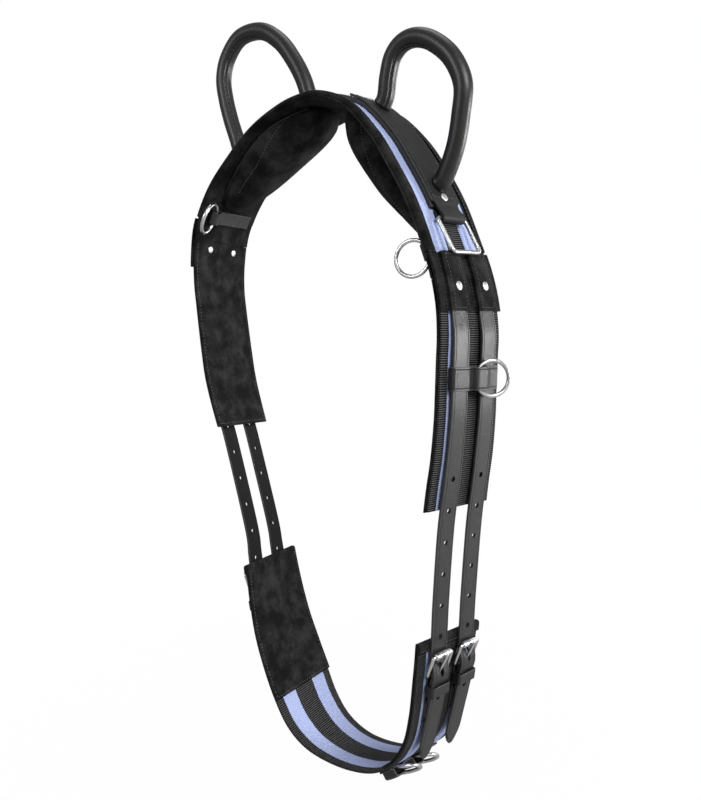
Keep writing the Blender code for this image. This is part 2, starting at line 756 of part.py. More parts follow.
def make_billet(side, place):
    name = side_name(side) + "_" + edge_name(place) + "_billet"
    line = BILLET_LINES[side]
    half = BILLET_WIDTH / 2
    end = BILLET_START + BILLET_LENGTH
    middle = place * BILLET_SIDE
    tip = [(end - 24, half), (end - 14, half - 1.8), (end - 6, half - 6.2), (end, 2.2)]
    outline = [(BILLET_START, -half), *[(x, -y) for x, y in tip], *tip[::-1], (BILLET_START, half)]
    used = along_billet(line, side, roller_place(side) + HOLE_TO_ROLLER, HEEL_HEIGHT + 5)
    holes = [circle(along_billet(line, side, RIVET_AT, LAYER_1 + BILLET_HALF), 0, STUD_RADIUS)]
    for k in range(HOLE_COUNT):
        at = used + HOLE_PITCH * (k - HOLE_IN_USE[side])
        holes.append(circle(at, 0, HOLE_RADIUS, 8, 4.4 if k == HOLE_IN_USE[side] else 0.0))
    loops = [[(x, y + middle) for x, y in loop] for loop in (outline, *holes)]
    pieces = [(loops, -BILLET_HALF, BILLET_HALF, SHEET)]
    wrap(name, "leather", pieces, 1, line, bends=(BEND_STEP, used - 24, used + 46))


def make_ring_strap(side):
    """Leather across the inside of the girth, folded at the front edge round a ring."""
    low = LINING_IN - 2 * AIR - LEATHER / 2
    eye = ring_eye()
    cx, ch = front_ring_spot()
    back = low - LEATHER - AIR
    reach = eye + LEATHER / 2
    edge = [(WEB_WIDTH / 2 - 10, low), (cx + reach + 2, low)]
    edge += arc(cx, ch, reach, 80, 318, 12)
    edge += [(cx + 6.6, back - 3.2), (cx + 9, back - 0.8), (cx + 12, back), (cx + 54, back)]
    half = 9
    loop = ribbon(edge, LEATHER)
    pieces = [([loop], RING_STRAP_AT - half, RING_STRAP_AT + half, SECTION)]
    wrap(side_name(side) + "_ring_strap", "leather", pieces, side)


def ring_eye():
    return RING_WIRE + 2.1


def front_ring_spot():
    """Across and outward place of the middle of the fold that holds the front ring."""
    return FRONT_RING_INSET - WEB_WIDTH / 2, LINING_IN - AIR - ring_eye() - LEATHER


def make_front_ring(side):
    y, h = front_ring_spot()
    spot = GIRTH_LINE.matrix(side, RING_STRAP_AT, y, h)
    toward = (-0.3, -0.954) if side > 0 else (-0.927, -0.375)
    base = GIRTH_LINE.frame(side * RING_STRAP_AT)
    out = (base[2] * toward[0] + base[3] * toward[1]).normalized()
    down = base[1] * side
    third = out.cross(down)
    frame = Matrix((out, down, third)).transposed().to_4x4()
    frame.translation = spot.translation
    wire(side_name(side) + "_front_ring", "nickel", ring_wire(RING_RADIUS, -1.1), RING_WIRE, frame)


def make_cross_keeper(side):
    """A leather band round both billets, humped in the middle for its ring."""
    edge = BILLET_SIDE + BILLET_WIDTH / 2 + 0.8 + LEATHER / 2
    low = LAYER_1 + LEATHER / 2 + 0.1
    high = BILLET_LIFT + BILLET_HALF + 0.5 + LEATHER / 2
    hump = high + 6.8
    middle = side_ring_spot()[0]
    rise = [(13.5, high), (11.5, high + 1.2), (9.4, hump - 1.2), (7, hump)]
    front = [(middle - across, h) for across, h in rise] + [(middle + across, h) for across, h in rise[::-1]]
    loop = [(-edge + 1.5, low), (-edge, low + 1.5), (-edge, high - 1.5), (-edge + 1.5, high), *front]
    loop += [(edge - 1.5, high), (edge, high - 1.5), (edge, low + 1.5), (edge - 1.5, low)]
    around = closed_ribbon(loop, LEATHER)
    start = KEEPER_AT - CROSS_LENGTH / 2
    pieces = [(around, start, start + CROSS_LENGTH, SECTION)]
    at = GIRTH_LINE.matrix(side, KEEPER_AT, 0, BILLET_LIFT)
    wrap(side_name(side) + "_cross_keeper", "leather", pieces, side, joint=at)


def closed_ribbon(points, thick):
    """The outer and inner outlines of a closed band of even thickness."""
    outer, inner = [], []
    count = len(points)
    for i, (x, y) in enumerate(points):
        x0, y0 = points[i - 1]
        x1, y1 = points[(i + 1) % count]
        a = Vector((x - x0, y - y0)).normalized()
        b = Vector((x1 - x, y1 - y)).normalized()
        normal = Vector((-(a.y + b.y), a.x + b.x)).normalized()
        size = thick / 2 / max(normal.dot(Vector((-a.y, a.x))), 0.5)
        outer.append((x + normal.x * size, y + normal.y * size))
        inner.append((x - normal.x * size, y - normal.y * size))
    return [outer, inner]


def side_ring_spot():
    return 3.0, LAYER_1 + LEATHER + RING_WIRE + 0.4


def make_side_ring(side):
    y, h = side_ring_spot()
    spot = GIRTH_LINE.matrix(side, KEEPER_AT, y, h)
    base = GIRTH_LINE.frame(side * KEEPER_AT)
    turn = math.radians(30)
    out = (base[2] * math.cos(turn) + base[3] * math.sin(turn)).normalized()
    down = base[1] * side
    frame = Matrix((out, down, out.cross(down))).transposed().to_4x4()
    frame.translation = spot.translation
    wire(side_name(side) + "_side_ring", "nickel", ring_wire(RING_RADIUS, 0.0), RING_WIRE, frame)


def make_belly_webbing():
    half = WEB_WIDTH / 2
    outline = rectangle(belly_end(1), GIRTH_LINE.length - belly_end(-1), -half, half)
    wrap("belly_webbing", "black webbing", [([outline], -WEB_FACE, WEB_FACE, SHEET)])


def make_belly_lining(side):
    """Suede inside each end of the belly girth, brought round the end as a binding."""
    half = WEB_WIDTH / 2 + 1.2
    end = belly_end(side)
    inside = end - AIR
    outside = inside - SUEDE_THICK
    inner_end = round((end + BELLY_LINING) / STEP) * STEP
    top = LAYER_1 + SUEDE_THICK
    outline = [
        (inner_end, LINING_IN), (outside, LINING_IN), (outside, top), (end + 9, top),
        (end + 9, LAYER_1), (inside, LAYER_1), (inside, LINING_OUT), (inner_end, LINING_OUT),
    ]
    pieces = [([outline], -half, half, PROFILE)]
    wrap(side_name(side) + "_belly_lining", "suede", pieces, side)


def make_chape(side, place):
    """Leather folded round the heel bar and sewn to the webbing, with a slot for the tongue."""
    name = side_name(side) + "_" + edge_name(place) + "_chape"
    roller = roller_place(side)
    heel = roller + HEEL_AT
    low = LAYER_1 + LEATHER / 2
    around = HEEL_HEIGHT - low
    end = roller + CHAPE_LENGTH
    sewn = low + LEATHER + AIR
    pocket = pocket_height()
    edge = [(end, low), (heel + 6, low), *arc(heel, HEEL_HEIGHT, around, 270, 90, 8)]
    edge += [(heel + 3.4, HEEL_HEIGHT + around - 0.7), (heel + 7, pocket + 0.2), (heel + 9.5, pocket)]
    edge += [(heel + 25, pocket), (heel + 28, pocket - 0.5), (heel + 33, sewn + 0.4), (heel + 36, sewn)]
    edge += [(end - 6, sewn)]
    half = CHAPE_WIDTH / 2
    middle = place * BILLET_SIDE
    loop = ribbon(edge, LEATHER)
    whole = wrap(name, "leather", [([loop], middle - half, middle + half, PROFILE)], side)
    slot = rectangle(heel - 9, heel + 8, middle - 3.2, middle + 3.2)
    cutter = wrap("slot", "leather", [([slot], low - 3, HEEL_HEIGHT + 9, SHEET)], side)
    cut_or_join(whole, [cutter], "DIFFERENCE")


def buckle_matrix(side, place):
    """The frame of a buckle at its heel bar: X down the strap, Y across, Z outward."""
    return GIRTH_LINE.matrix(side, roller_place(side) + HEEL_AT, place * BILLET_SIDE, HEEL_HEIGHT)


def roller_offset():
    """From the heel bar to the roller in the buckle's own frame."""
    return Vector((-HEEL_AT, 0, ROLLER_HEIGHT - HEEL_HEIGHT))


def make_buckle(side, place):
    name = side_name(side) + "_" + edge_name(place)
    heel = buckle_matrix(side, place)
    offset = roller_offset()
    lean = Matrix.Rotation(math.atan2(offset.z, HEEL_AT), 4, "Y")
    points = [(x - offset.length, y, 0) for x, y, _ in rounded_wire(BUCKLE_WIDTH, offset.length, 2.6)]
    wire(name + "_buckle_frame", "nickel", points, BUCKLE_WIRE, heel @ lean)
    bore = BUCKLE_WIRE + 0.25
    half = BUCKLE_WIDTH / 2 - 3
    profile = [
        (bore, half), (ROLLER_RADIUS - 0.4, half), (ROLLER_RADIUS, half - 0.4), (ROLLER_RADIUS, 0.4 - half),
        (ROLLER_RADIUS - 0.4, -half), (bore, -half),
    ]
    turn = Matrix.Rotation(math.pi / 2, 4, "X")
    turned(name + "_roller", "nickel", profile, heel @ Matrix.Translation(offset * MM) @ turn)
    collar_profile = [(bore, 2.5), (bore + 1.7, 2.5), (bore + 1.7, -2.5), (bore, -2.5)]
    tip = offset + Vector((-1.2, 0, ROLLER_RADIUS + 3 * AIR + TONGUE_RADIUS))
    shank = [(-1.8, 0, bore + 0.6), (-4.5, 0, bore + 1.6)]
    shank += [(tip.x + k, 0, tip.z - 0.36 * k) for k in (8, 4, 0)]
    shank += [(tip.x - 2.4, 0, tip.z - 0.2)]
    tongue = wire(name + "_tongue", "nickel", shank, TONGUE_RADIUS, heel, False, 2)
    collar = turned("collar", "nickel", collar_profile, heel @ turn)
    cut_or_join(tongue, [collar], "UNION")


def make_keeper(side, place):
    """A small loop that holds the tail of the billet down on the chape."""
    name = side_name(side) + "_" + edge_name(place) + "_keeper"
    start = roller_place(side) + HEEL_AT + 11
    low = LAYER_1 + LEATHER + AIR + LEATHER / 2
    high = pocket_height() + LEATHER / 2 + AIR + BILLET_THICK + 0.9 + LEATHER / 2
    edge = BILLET_WIDTH / 2 + 0.7 + LEATHER / 2
    middle = place * BILLET_SIDE
    loop = [(-edge + 1.2, low), (-edge, low + 1.2), (-edge, high - 1.2), (-edge + 1.2, high)]
    loop += [(edge - 1.2, high), (edge, high - 1.2), (edge, low + 1.2), (edge - 1.2, low)]
    around = [[(x + middle, y) for x, y in ring] for ring in closed_ribbon(loop, LEATHER - 0.2)]
    at = GIRTH_LINE.matrix(side, start + 6, middle, high)
    wrap(name, "leather", [(around, start, start + 12, SECTION)], side, joint=at)


def belly_ring_places():
    return (-0.33 * WEB_WIDTH, 0.04 * WEB_WIDTH)


def make_belly_strap():
    """Leather sewn across the outside of the belly girth, with a tunnel for each ring."""
    low = LAYER_1 + LEATHER / 2
    hump = LAYER_1 + 2 * RING_WIRE + LEATHER / 2 + 4.8
    edge = [(-WEB_WIDTH / 2 + 2, low)]
    for y in belly_ring_places():
        edge += [(y - 11.5, low), (y - 9.6, low + 1.0), (y - 7.8, hump - 1.2), (y - 6, hump)]
        edge += [(y + 6, hump), (y + 7.8, hump - 1.2), (y + 9.6, low + 1.0), (y + 11.5, low)]
    edge += [(WEB_WIDTH / 2 - 2, low)]
    start = belly_end(1) + BELLY_STRAP_AT - BELLY_STRAP_WIDTH / 2
    pieces = [([ribbon(edge, LEATHER)], start, start + BELLY_STRAP_WIDTH, SECTION)]
    wrap("belly_strap", "leather", pieces)


def make_belly_ring(place, y):
    at = belly_end(1) + BELLY_STRAP_AT
    height = LAYER_1 + RING_WIRE
    spot = GIRTH_LINE.matrix(1, at, y, height)
    _, along, across, out = GIRTH_LINE.frame(at)
    turn = math.radians(20)
    away = (across * math.cos(turn) + out * math.sin(turn)).normalized()
    frame = Matrix((away, along, away.cross(along))).transposed().to_4x4()
    frame.translation = spot.translation
    wire("belly_" + edge_name(place) + "_ring", "nickel", ring_wire(RING_RADIUS, 0.0), RING_WIRE, frame)


BILLET_LINES = {side: billet_line(side) for side in (1, -1)}

make_upper_webbing()
make_upper_lining()
make_top_strap()
make_belly_webbing()
make_belly_strap()
for end, across in zip((-1, 1), belly_ring_places()):
    make_belly_ring(end, across)
for hand in (1, -1):
    make_flap_lining(hand)
    make_pad(hand)
    make_handle_plate(hand)
    make_handle(hand)
    make_square_ring(hand)
    make_billet_patch(hand)
    make_ring_strap(hand)
    make_front_ring(hand)
    make_cross_keeper(hand)
    make_side_ring(hand)
    make_belly_lining(hand)
    for edge_side in (-1, 1):
        make_billet(hand, edge_side)
        make_billet_rivet(hand, edge_side)
        make_chape(hand, edge_side)
        make_buckle(hand, edge_side)
        make_keeper(hand, edge_side)
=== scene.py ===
# The looks of a padded lunging girth, buckled as a loop: striped webbing lined with suede,
# two leather handles, rings for side reins, and billets buckled to a belly girth.
# Lengths are in mm and are turned into metres as a piece is laid on the line of the girth.

import math
from bisect import bisect

import bmesh
import bpy
from mathutils import Matrix, Vector
from mathutils.bvhtree import BVHTree


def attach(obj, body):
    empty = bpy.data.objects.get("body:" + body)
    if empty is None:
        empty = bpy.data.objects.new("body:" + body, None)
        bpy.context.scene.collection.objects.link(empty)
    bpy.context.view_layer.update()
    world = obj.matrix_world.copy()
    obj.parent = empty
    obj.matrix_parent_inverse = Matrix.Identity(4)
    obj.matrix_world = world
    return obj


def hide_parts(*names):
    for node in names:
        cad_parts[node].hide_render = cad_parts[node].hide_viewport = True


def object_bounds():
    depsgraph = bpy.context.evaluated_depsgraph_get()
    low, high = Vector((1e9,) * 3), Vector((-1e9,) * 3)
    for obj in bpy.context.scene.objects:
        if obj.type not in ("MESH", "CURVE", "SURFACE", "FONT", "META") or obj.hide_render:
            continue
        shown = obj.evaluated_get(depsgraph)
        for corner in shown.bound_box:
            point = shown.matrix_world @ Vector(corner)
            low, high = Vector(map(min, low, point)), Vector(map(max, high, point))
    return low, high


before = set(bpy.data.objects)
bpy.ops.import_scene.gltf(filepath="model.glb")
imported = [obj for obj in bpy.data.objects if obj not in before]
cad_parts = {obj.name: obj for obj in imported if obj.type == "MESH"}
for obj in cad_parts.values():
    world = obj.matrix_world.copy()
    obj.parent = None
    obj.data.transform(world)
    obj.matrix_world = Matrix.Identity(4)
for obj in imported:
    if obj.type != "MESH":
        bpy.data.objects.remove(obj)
CAD_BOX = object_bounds()
MM = 0.001


# The girth stands by itself in a bright studio. The camera looks at it from ahead of the
# near side, a little above the middle of the loop, and the floor keeps a soft shadow.
WATCHED = Vector((0.015, 0.0, -0.340))
CAMERA_TURN = math.radians(34)
CAMERA_RISE = math.radians(5)
CAMERA_AWAY = 0.8
CAMERA_LENS = 30.15
LAMPS = {
    "key lamp": ((2.0, -0.9, 1.0), 1.1, 52),
    "left lamp": ((-0.8, -2.1, 0.7), 0.7, 16),
    "top lamp": ((0.0, 0.3, 1.9), 1.0, 9),
    "back lamp": ((0.4, 2.2, 0.3), 1.0, 15),
    "right lamp": ((1.82, 1.06, -0.2), 0.55, 34),
}
SKY_COLOUR = (0.93, 0.95, 1.0)
SKY_STRENGTH = 0.22
FLOOR_GREY = (0.45, 0.45, 0.45)
FLOOR_HALF = 4.0


def placed(name, data):
    """A new object in the scene."""
    thing = bpy.data.objects.new(name, data)
    bpy.context.scene.collection.objects.link(thing)
    return thing


def meshed(name, bm):
    """A new object in the scene with a shape that was built by hand."""
    mesh = bpy.data.meshes.new(name)
    bm.to_mesh(mesh)
    bm.free()
    return placed(name, mesh)


looking = Vector((
    -math.sin(CAMERA_TURN) * math.cos(CAMERA_RISE),
    math.cos(CAMERA_TURN) * math.cos(CAMERA_RISE),
    -math.sin(CAMERA_RISE),
))
camera = placed("camera", bpy.data.cameras.new("camera"))
camera.data.lens = CAMERA_LENS
camera.data.sensor_width = 36
camera.data.clip_start = 0.02
camera.location = WATCHED - looking * CAMERA_AWAY
camera.rotation_euler = looking.to_track_quat("-Z", "Y").to_euler()
bpy.context.scene.camera = camera
bpy.context.scene.view_settings.view_transform = "Standard"

for name, (place, size, power) in LAMPS.items():
    lamp = placed(name, bpy.data.lights.new(name, "AREA"))
    lamp.data.size = size
    lamp.data.energy = power
    lamp.location = place
    lamp.rotation_euler = (WATCHED - Vector(place)).to_track_quat("-Z", "Y").to_euler()


class Value:
    """One output of a shader's nodes, which can be written in sums and products."""

    def __init__(self, nodes, socket):
        self.nodes = nodes
        self.socket = socket

    def maths(self, operation, *values):
        return self.nodes.node("ShaderNodeMath", {"operation": operation}, values)

    def __add__(self, other):
        return self.maths("ADD", self, other)

    def __mul__(self, other):
        return self.maths("MULTIPLY", self, other)

    def __sub__(self, other):
        return self.maths("SUBTRACT", self, other)

    def __rsub__(self, other):
        return self.maths("SUBTRACT", other, self)

    def __abs__(self):
        return self.maths("ABSOLUTE", self)

    def sine(self):
        return self.maths("SINE", self)

    def wave(self):
        """A wave from 0 to 1 with this phase."""
        return self.sine() * 0.5 + 0.5

    def rising(self, low, high):
        """Goes smoothly from 0 to 1 as the value goes from low to high."""
        settings = {"interpolation_type": "SMOOTHSTEP"}
        return self.nodes.node("ShaderNodeMapRange", settings, {0: self, 1: low, 2: high, 3: 0.0, 4: 1.0})

    def between(self, low, high, soft):
        """One where the value lies between two limits, fading over a soft edge."""
        return self.rising(low - soft, low + soft) * (1 - self.rising(high - soft, high + soft))


class Nodes:
    """The nodes of a material or of the world."""

    def __init__(self, owner):
        owner.use_nodes = True
        self.tree = owner.node_tree

    def put(self, socket, value):
        if isinstance(value, Value):
            self.tree.links.new(value.socket, socket)
        elif isinstance(value, tuple):
            socket.default_value = (*value, 1.0)
        else:
            socket.default_value = value

    def node(self, kind, settings=None, values=(), output=0):
        made = self.tree.nodes.new(kind)
        for setting, value in (settings or {}).items():
            setattr(made, setting, value)
        for key, value in values.items() if isinstance(values, dict) else enumerate(values):
            self.put(made.inputs[key], value)
        return Value(self, made.outputs[output])

    def whitened(self, shader, white, target, seen, mirrored):
        """Mixes plain white into a shader, by one share for the camera and one for reflections."""
        share = self.node("ShaderNodeLightPath", output="Is Camera Ray") * seen
        share = share + self.node("ShaderNodeLightPath", output="Is Glossy Ray") * mirrored
        plain = self.node(white, None, {"Color": (1, 1, 1), "Strength": 1.0})
        mixed = self.node("ShaderNodeMixShader", None, [share, Value(self, shader.outputs[0]), plain])
        self.put(self.tree.nodes[target].inputs[0], mixed)


class Finish(Nodes):
    """A material, and the slot of the model whose finish it shows."""

    def __init__(self, name, slot="leather", **sockets):
        self.slot = slot
        self.material = bpy.data.materials.new(name)
        super().__init__(self.material)
        self.shader = self.tree.nodes["Principled BSDF"]
        for socket, value in sockets.items():
            self.put(self.shader.inputs[socket.replace("_", " ")], value)

    def spot(self):
        return self.node("ShaderNodeTexCoord", output="Object")

    def sheet(self):
        """Where a point lies on the flat strap, in mm along it and across it."""
        flat = self.node("ShaderNodeUVMap", {"uv_map": "flat"})
        return [self.node("ShaderNodeSeparateXYZ", None, [flat], way) * 1000 for way in "XY"]

    def noise(self, size, detail=3.0, rough=0.5):
        """A cloudy value from 0 to 1 whose patches measure about the given size in mm."""
        inputs = {"Vector": self.spot(), "Scale": 1000 / size, "Detail": detail, "Roughness": rough}
        return self.node("ShaderNodeTexNoise", None, inputs)

    def cells(self, size):
        """How far a point lies from the edge of its cell, for a grain of the given size in mm."""
        inputs = {"Vector": self.spot(), "Scale": 1000 / size}
        return self.node("ShaderNodeTexVoronoi", {"feature": "DISTANCE_TO_EDGE"}, inputs)

    def mix(self, factor, first, second):
        return self.node("ShaderNodeMix", {"data_type": "RGBA"}, {0: factor, 6: first, 7: second}, 2)

    def relief(self, height, depth, strength=1.0):
        """Raises the surface by a height from 0 to 1, to a depth in mm."""
        inputs = {"Strength": strength, "Distance": depth * MM, "Height": height}
        self.put(self.shader.inputs["Normal"], self.node("ShaderNodeBump", None, inputs))

    def colour(self, value):
        self.put(self.shader.inputs["Base Color"], value)

    def roughness(self, value):
        self.put(self.shader.inputs["Roughness"], value)


world = bpy.data.worlds.new("studio")
bpy.context.scene.world = world
sky = Nodes(world)
around = sky.tree.nodes["Background"]
sky.put(around.inputs["Color"], SKY_COLOUR)
sky.put(around.inputs["Strength"], SKY_STRENGTH)
sky.whitened(around, "ShaderNodeBackground", "World Output", 1.0, 0.2)

bm = bmesh.new()
bmesh.ops.create_grid(bm, x_segments=1, y_segments=1, size=FLOOR_HALF)
bmesh.ops.translate(bm, verts=bm.verts, vec=(0, 0, CAD_BOX[0][2] - 0.001))
floor = meshed("floor", bm)
floor_finish = Finish("studio floor", Base_Color=FLOOR_GREY, Roughness=0.9)
away = floor_finish.node("ShaderNodeVectorMath", {"operation": "LENGTH"}, [floor_finish.spot()], "Value")
seen = away.rising(0.2, 1.2) * 0.04 + 0.96
floor_finish.whitened(floor_finish.shader, "ShaderNodeEmission", "Material Output", seen, 0.1)
floor.data.materials.append(floor_finish.material)


# The girth hangs as a closed loop. Its line runs from the crown down the near side, under
# the belly and up the far side, and every strap is made flat and then laid along it:
# s is the length from the crown, y the place across, and h the height out of the webbing.
# Each station of the line gives X, Z and the twist of the webbing in degrees.
HANGING_LINE = [
    (8, 3, 4), (46, -12, 7), (82, -48, 9), (107, -85, 10), (127, -120, 10),
    (144, -160, 10), (157, -196, 11), (165, -230, 12), (168, -262, 13), (167.3, -292, 13),
    (166.6, -322, 13), (165.9, -352, 13.4), (163, -392, 14), (158, -430, 14.6), (154, -470, 15),
    (151, -512, 15), (149, -556, 14.6), (147, -600, 14), (143, -640, 13), (138, -680, 12),
    (129, -715, 11), (110, -746, 10.5), (81, -766, 10), (47, -775, 10), (12, -775, 9),
    (-19, -765, 4.5), (-43, -744, -1.5), (-61, -714, -5), (-78, -679, -5), (-93, -642, -3),
    (-104, -602, 0), (-112, -562, 3), (-119, -520, 5.5), (-130, -474, 7), (-144, -428, 7),
    (-160, -384, 6.2), (-173, -346, 5.5), (-181.5, -316, 5.2), (-186.8, -286, 5.4), (-191.4, -256, 5.8),
    (-195.6, -226, 6.2), (-199, -196, 6.2), (-198, -160, 5.5), (-190, -120, 4.5), (-166, -80, 3.5),
    (-132, -48, 2.5), (-94, -20, 2), (-54, -3, 2), (-22, 4, 3),
]
LINE_STEPS = 24
REACH = 4.0
SIDES = ((1, "near"), (-1, "far"))


def spline(a, b, c, d, u):
    return 0.5 * (2 * b + (c - a) * u + (2 * a - 5 * b + 4 * c - d) * u**2 + (3 * b - a - 3 * c + d) * u**3)


def beyond(first, second):
    """The point as far beyond the first point as that is from the second."""
    return [2 * p - q for p, q in zip(first, second)]


def smooth(points, steps=6):
    """A rounded line through some points."""
    ends = [beyond(*points[:2]), *points, beyond(*points[:-3:-1])]
    found = []
    for a, b, c, d in zip(ends, ends[1:], ends[2:], ends[3:]):
        found += [tuple(spline(*n, j / steps) for n in zip(a, b, c, d)) for j in range(steps)]
    return [*found, tuple(points[-1])]


def divided(points, step):
    """The same line with no two points further apart than a step."""
    found = [tuple(points[0])]
    for a, b in zip(points, points[1:]):
        parts = max(1, math.ceil(math.dist(a, b) / step))
        found += [tuple(p + (q - p) * k / parts for p, q in zip(a, b)) for k in range(1, parts + 1)]
    return found


def level(start, end, h, step=5):
    """A path of (s, h) at one height."""
    return divided([(start, h), (end, h)], step)


def axes(x, y, z, origin):
    """The matrix of a frame with three directions at a point."""
    matrix = Matrix((x, y, z)).transposed().to_4x4()
    matrix.translation = origin
    return matrix


class Line:
    """A smooth line through stations of X, Z, twist and Y, measured along its length."""

    def __init__(self, stations, closed=False, start=0.0, side=1):
        self.closed = closed
        self.side = side
        if closed:
            self.rows = smooth([stations[-1], *stations, *stations[:2]], LINE_STEPS)[LINE_STEPS:-LINE_STEPS]
        else:
            self.rows = smooth(stations, LINE_STEPS)
        self.at = [start]
        for a, b in zip(self.rows, self.rows[1:]):
            self.at.append(self.at[-1] + math.hypot(b[0] - a[0], b[1] - a[1]))
        self.length = self.at[-1] - start
        self.known = {}

    def sample(self, s):
        if self.closed:
            s = (s - self.at[0]) % self.length + self.at[0]
        s = min(max(s, self.at[0]), self.at[-1] - 1e-6)
        i = bisect(self.at, s)
        u = (s - self.at[i - 1]) / (self.at[i] - self.at[i - 1])
        return [p + (q - p) * u for p, q in zip(self.rows[i - 1], self.rows[i])]

    def frame(self, s):
        """The point on the line, then its along, across and outward directions."""
        s = round(s, 3)
        last = round(self.at[-1] - REACH, 3)
        if s in self.known:
            return self.known[s]
        if not self.closed and s > last:
            point, along, across, out = self.frame(last)
            point = point + along * (s - last)
        else:
            before, here, after = self.sample(s - REACH), self.sample(s), self.sample(s + REACH)
            point = Vector((here[0], here[3], here[1]))
            along = Vector((after[0] - before[0], 0, after[1] - before[1])).normalized()
            out = along.cross(Vector((0, 1, 0))) * self.side
            twist = math.radians(here[2])
            across = Vector((0, math.cos(twist), 0)) + out * math.sin(twist)
            out = out * math.cos(twist) - Vector((0, math.sin(twist), 0))
        self.known[s] = point, along, across, out
        return self.known[s]

    def place(self, s, y, h):
        point, _, across, out = self.frame(s)
        return (point + across * y + out * h) * MM

    def matrix(self, side, s, y=0.0, h=0.0):
        """A frame at a point: X down the strap, Y across it, Z outward."""
        _, along, across, out = self.frame(side * s)
        return axes(along * side, across * side, out, self.place(side * s, y, h))

    def offset(self, points):
        """The stations of a second line outside this one, from pairs of length and height."""
        stations = []
        for s, h in points:
            point, _, _, out = self.frame(s)
            point = point + out * h
            stations.append((point.x, point.z, self.sample(s)[2], point.y))
        return stations


GIRTH = Line([(*station, 0.0) for station in HANGING_LINE], closed=True)


def finished(name, bm, finish, node=None, body="girth"):
    """Turns a mesh into a piece that rides on a body and stands for its node of the model."""
    for face in bm.faces:
        face.smooth = True
    piece = meshed(name, bm)
    piece.data.materials.append(finish.material)
    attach(piece, body)
    if node:
        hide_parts(node)
    return piece


def thickened(piece, thick):
    """Gives a sheet its thickness, half of it to each side."""
    shell = piece.modifiers.new("thickness", "SOLIDIFY")
    shell.thickness = thick * MM
    shell.offset = 0
    shell.use_even_offset = True
    return shell


def evened(piece):
    """Keeps the shading of the flat faces level up to their rounded edges."""
    shading = piece.modifiers.new("level shading", "WEIGHTED_NORMAL")
    shading.weight = 100
    shading.keep_sharp = True


def rounded(piece, width):
    edge = piece.modifiers.new("rounded edges", "BEVEL")
    edge.width = width * MM
    edge.segments = 2
    edge.limit_method = "ANGLE"
    edge.angle_limit = math.radians(40)
    edge.harden_normals = True
    evened(piece)


def strip(line, path, span, lie, side, width=None):
    """A flat sheet along a path, laid on a line of the girth.

    A profile is a path of (s, h) that is as wide as the span of y. A section is a path
    of (y, h) that runs over the span of s. A width may narrow a profile along its path.
    """
    bm = bmesh.new()
    middle = sum(span) / 2
    ends = [(value,) for value in span]
    spots = [row[0] for row in (divided(ends, 8.0) if lie == "section" else ends)]
    grid = bmesh.ops.create_grid(bm, x_segments=len(path) - 1, y_segments=len(spots) - 1, size=0.5)
    flat = bm.loops.layers.uv.new("flat")
    places = {}
    for vert in grid["verts"]:
        i = round((vert.co.x + 0.5) * (len(path) - 1))
        j = round((vert.co.y + 0.5) * (len(spots) - 1))
        if lie == "section":
            s, y, h = spots[j], *path[i]
            places[vert] = (side * s, y)
        else:
            s, h = path[i]
            away = (spots[j] - middle) * (width(s) if width else 1)
            y = middle + away
            places[vert] = (side * s, away)
        vert.co = line.place(side * s, y, h)
    for face in bm.faces:
        for corner in face.loops:
            corner[flat].uv = Vector(places[corner.vert]) * MM
    return bm


def strap(name, finish, thick, path, span, lie="profile", side=1, line=GIRTH, width=None,
          edge=0.5, inside=None, **where):
    """A strip with its thickness and rounded edges; it may have another finish on its inside."""
    bm = strip(line, path, span, lie, side, width)
    if inside:
        bm.normal_update()
        bm.faces.ensure_lookup_table()
        face = bm.faces[0]
        s = face.loops[0][bm.loops.layers.uv["flat"]].uv.x / MM
        if face.normal.dot(line.frame(s)[3]) < 0:
            bmesh.ops.reverse_faces(bm, faces=bm.faces)
    piece = finished(name, bm, finish, **where)
    shell = thickened(piece, thick)
    if inside:
        piece.data.materials.append(inside.material)
        shell.material_offset = 1
    rounded(piece, edge)
    return piece


# The webbing is one heavy woven tape, 100 mm wide, in two lengths: one over the back and
# one under the belly. It is black and ribbed across, with two pale blue stripes in it.
WEB_HALF = 50.0
WEB_THICK = 3.0
RIB_PITCH = 2.4
YARN_PITCH = 2.6
TWILL_PITCH = 1.7
STRIPE_INNER = 16.0
STRIPE_OUTER = 38.0
UPPER_END = 514.0
BELLY_END = {1: 660.0, -1: 695.0}
WEB_BLACK = (0.003, 0.003, 0.0032)
RIB_GREY = (0.21, 0.21, 0.215)
STRIPE_BLUE = (0.48, 0.545, 0.80)
STRIPE_SHADE = (0.23, 0.28, 0.49)

webbing = Finish("striped webbing", "black_webbing", Roughness=0.8, Specular_IOR_Level=0.12)
along, across = webbing.sheet()
wander = webbing.noise(9, 2)
rib = (along * (math.tau / RIB_PITCH) + wander * 1.2).wave().rising(0.45, 1.0)
yarn = (across * (math.tau / YARN_PITCH) + (along * (math.pi / RIB_PITCH)).sine() * 1.5).wave()
stripe = (abs(across) + (wander - 0.5) * 1.2).between(STRIPE_INNER, STRIPE_OUTER, 0.5)
twill = ((along + across) * (math.tau / TWILL_PITCH)).wave()
fleck = webbing.noise(0.9, 2, 0.7)
ribbed = webbing.mix(rib * (yarn * 0.5 + 0.5) * (fleck * 0.9 + 0.2), WEB_BLACK, RIB_GREY)
blue = webbing.mix(twill * 0.25 + rib * 0.2 + fleck * 0.7, STRIPE_SHADE, STRIPE_BLUE)
webbing.colour(webbing.mix(stripe, ribbed, blue))
webbing.relief(rib * (1 - stripe * 0.75) + yarn * 0.2 + twill * stripe * 0.25, 0.8)

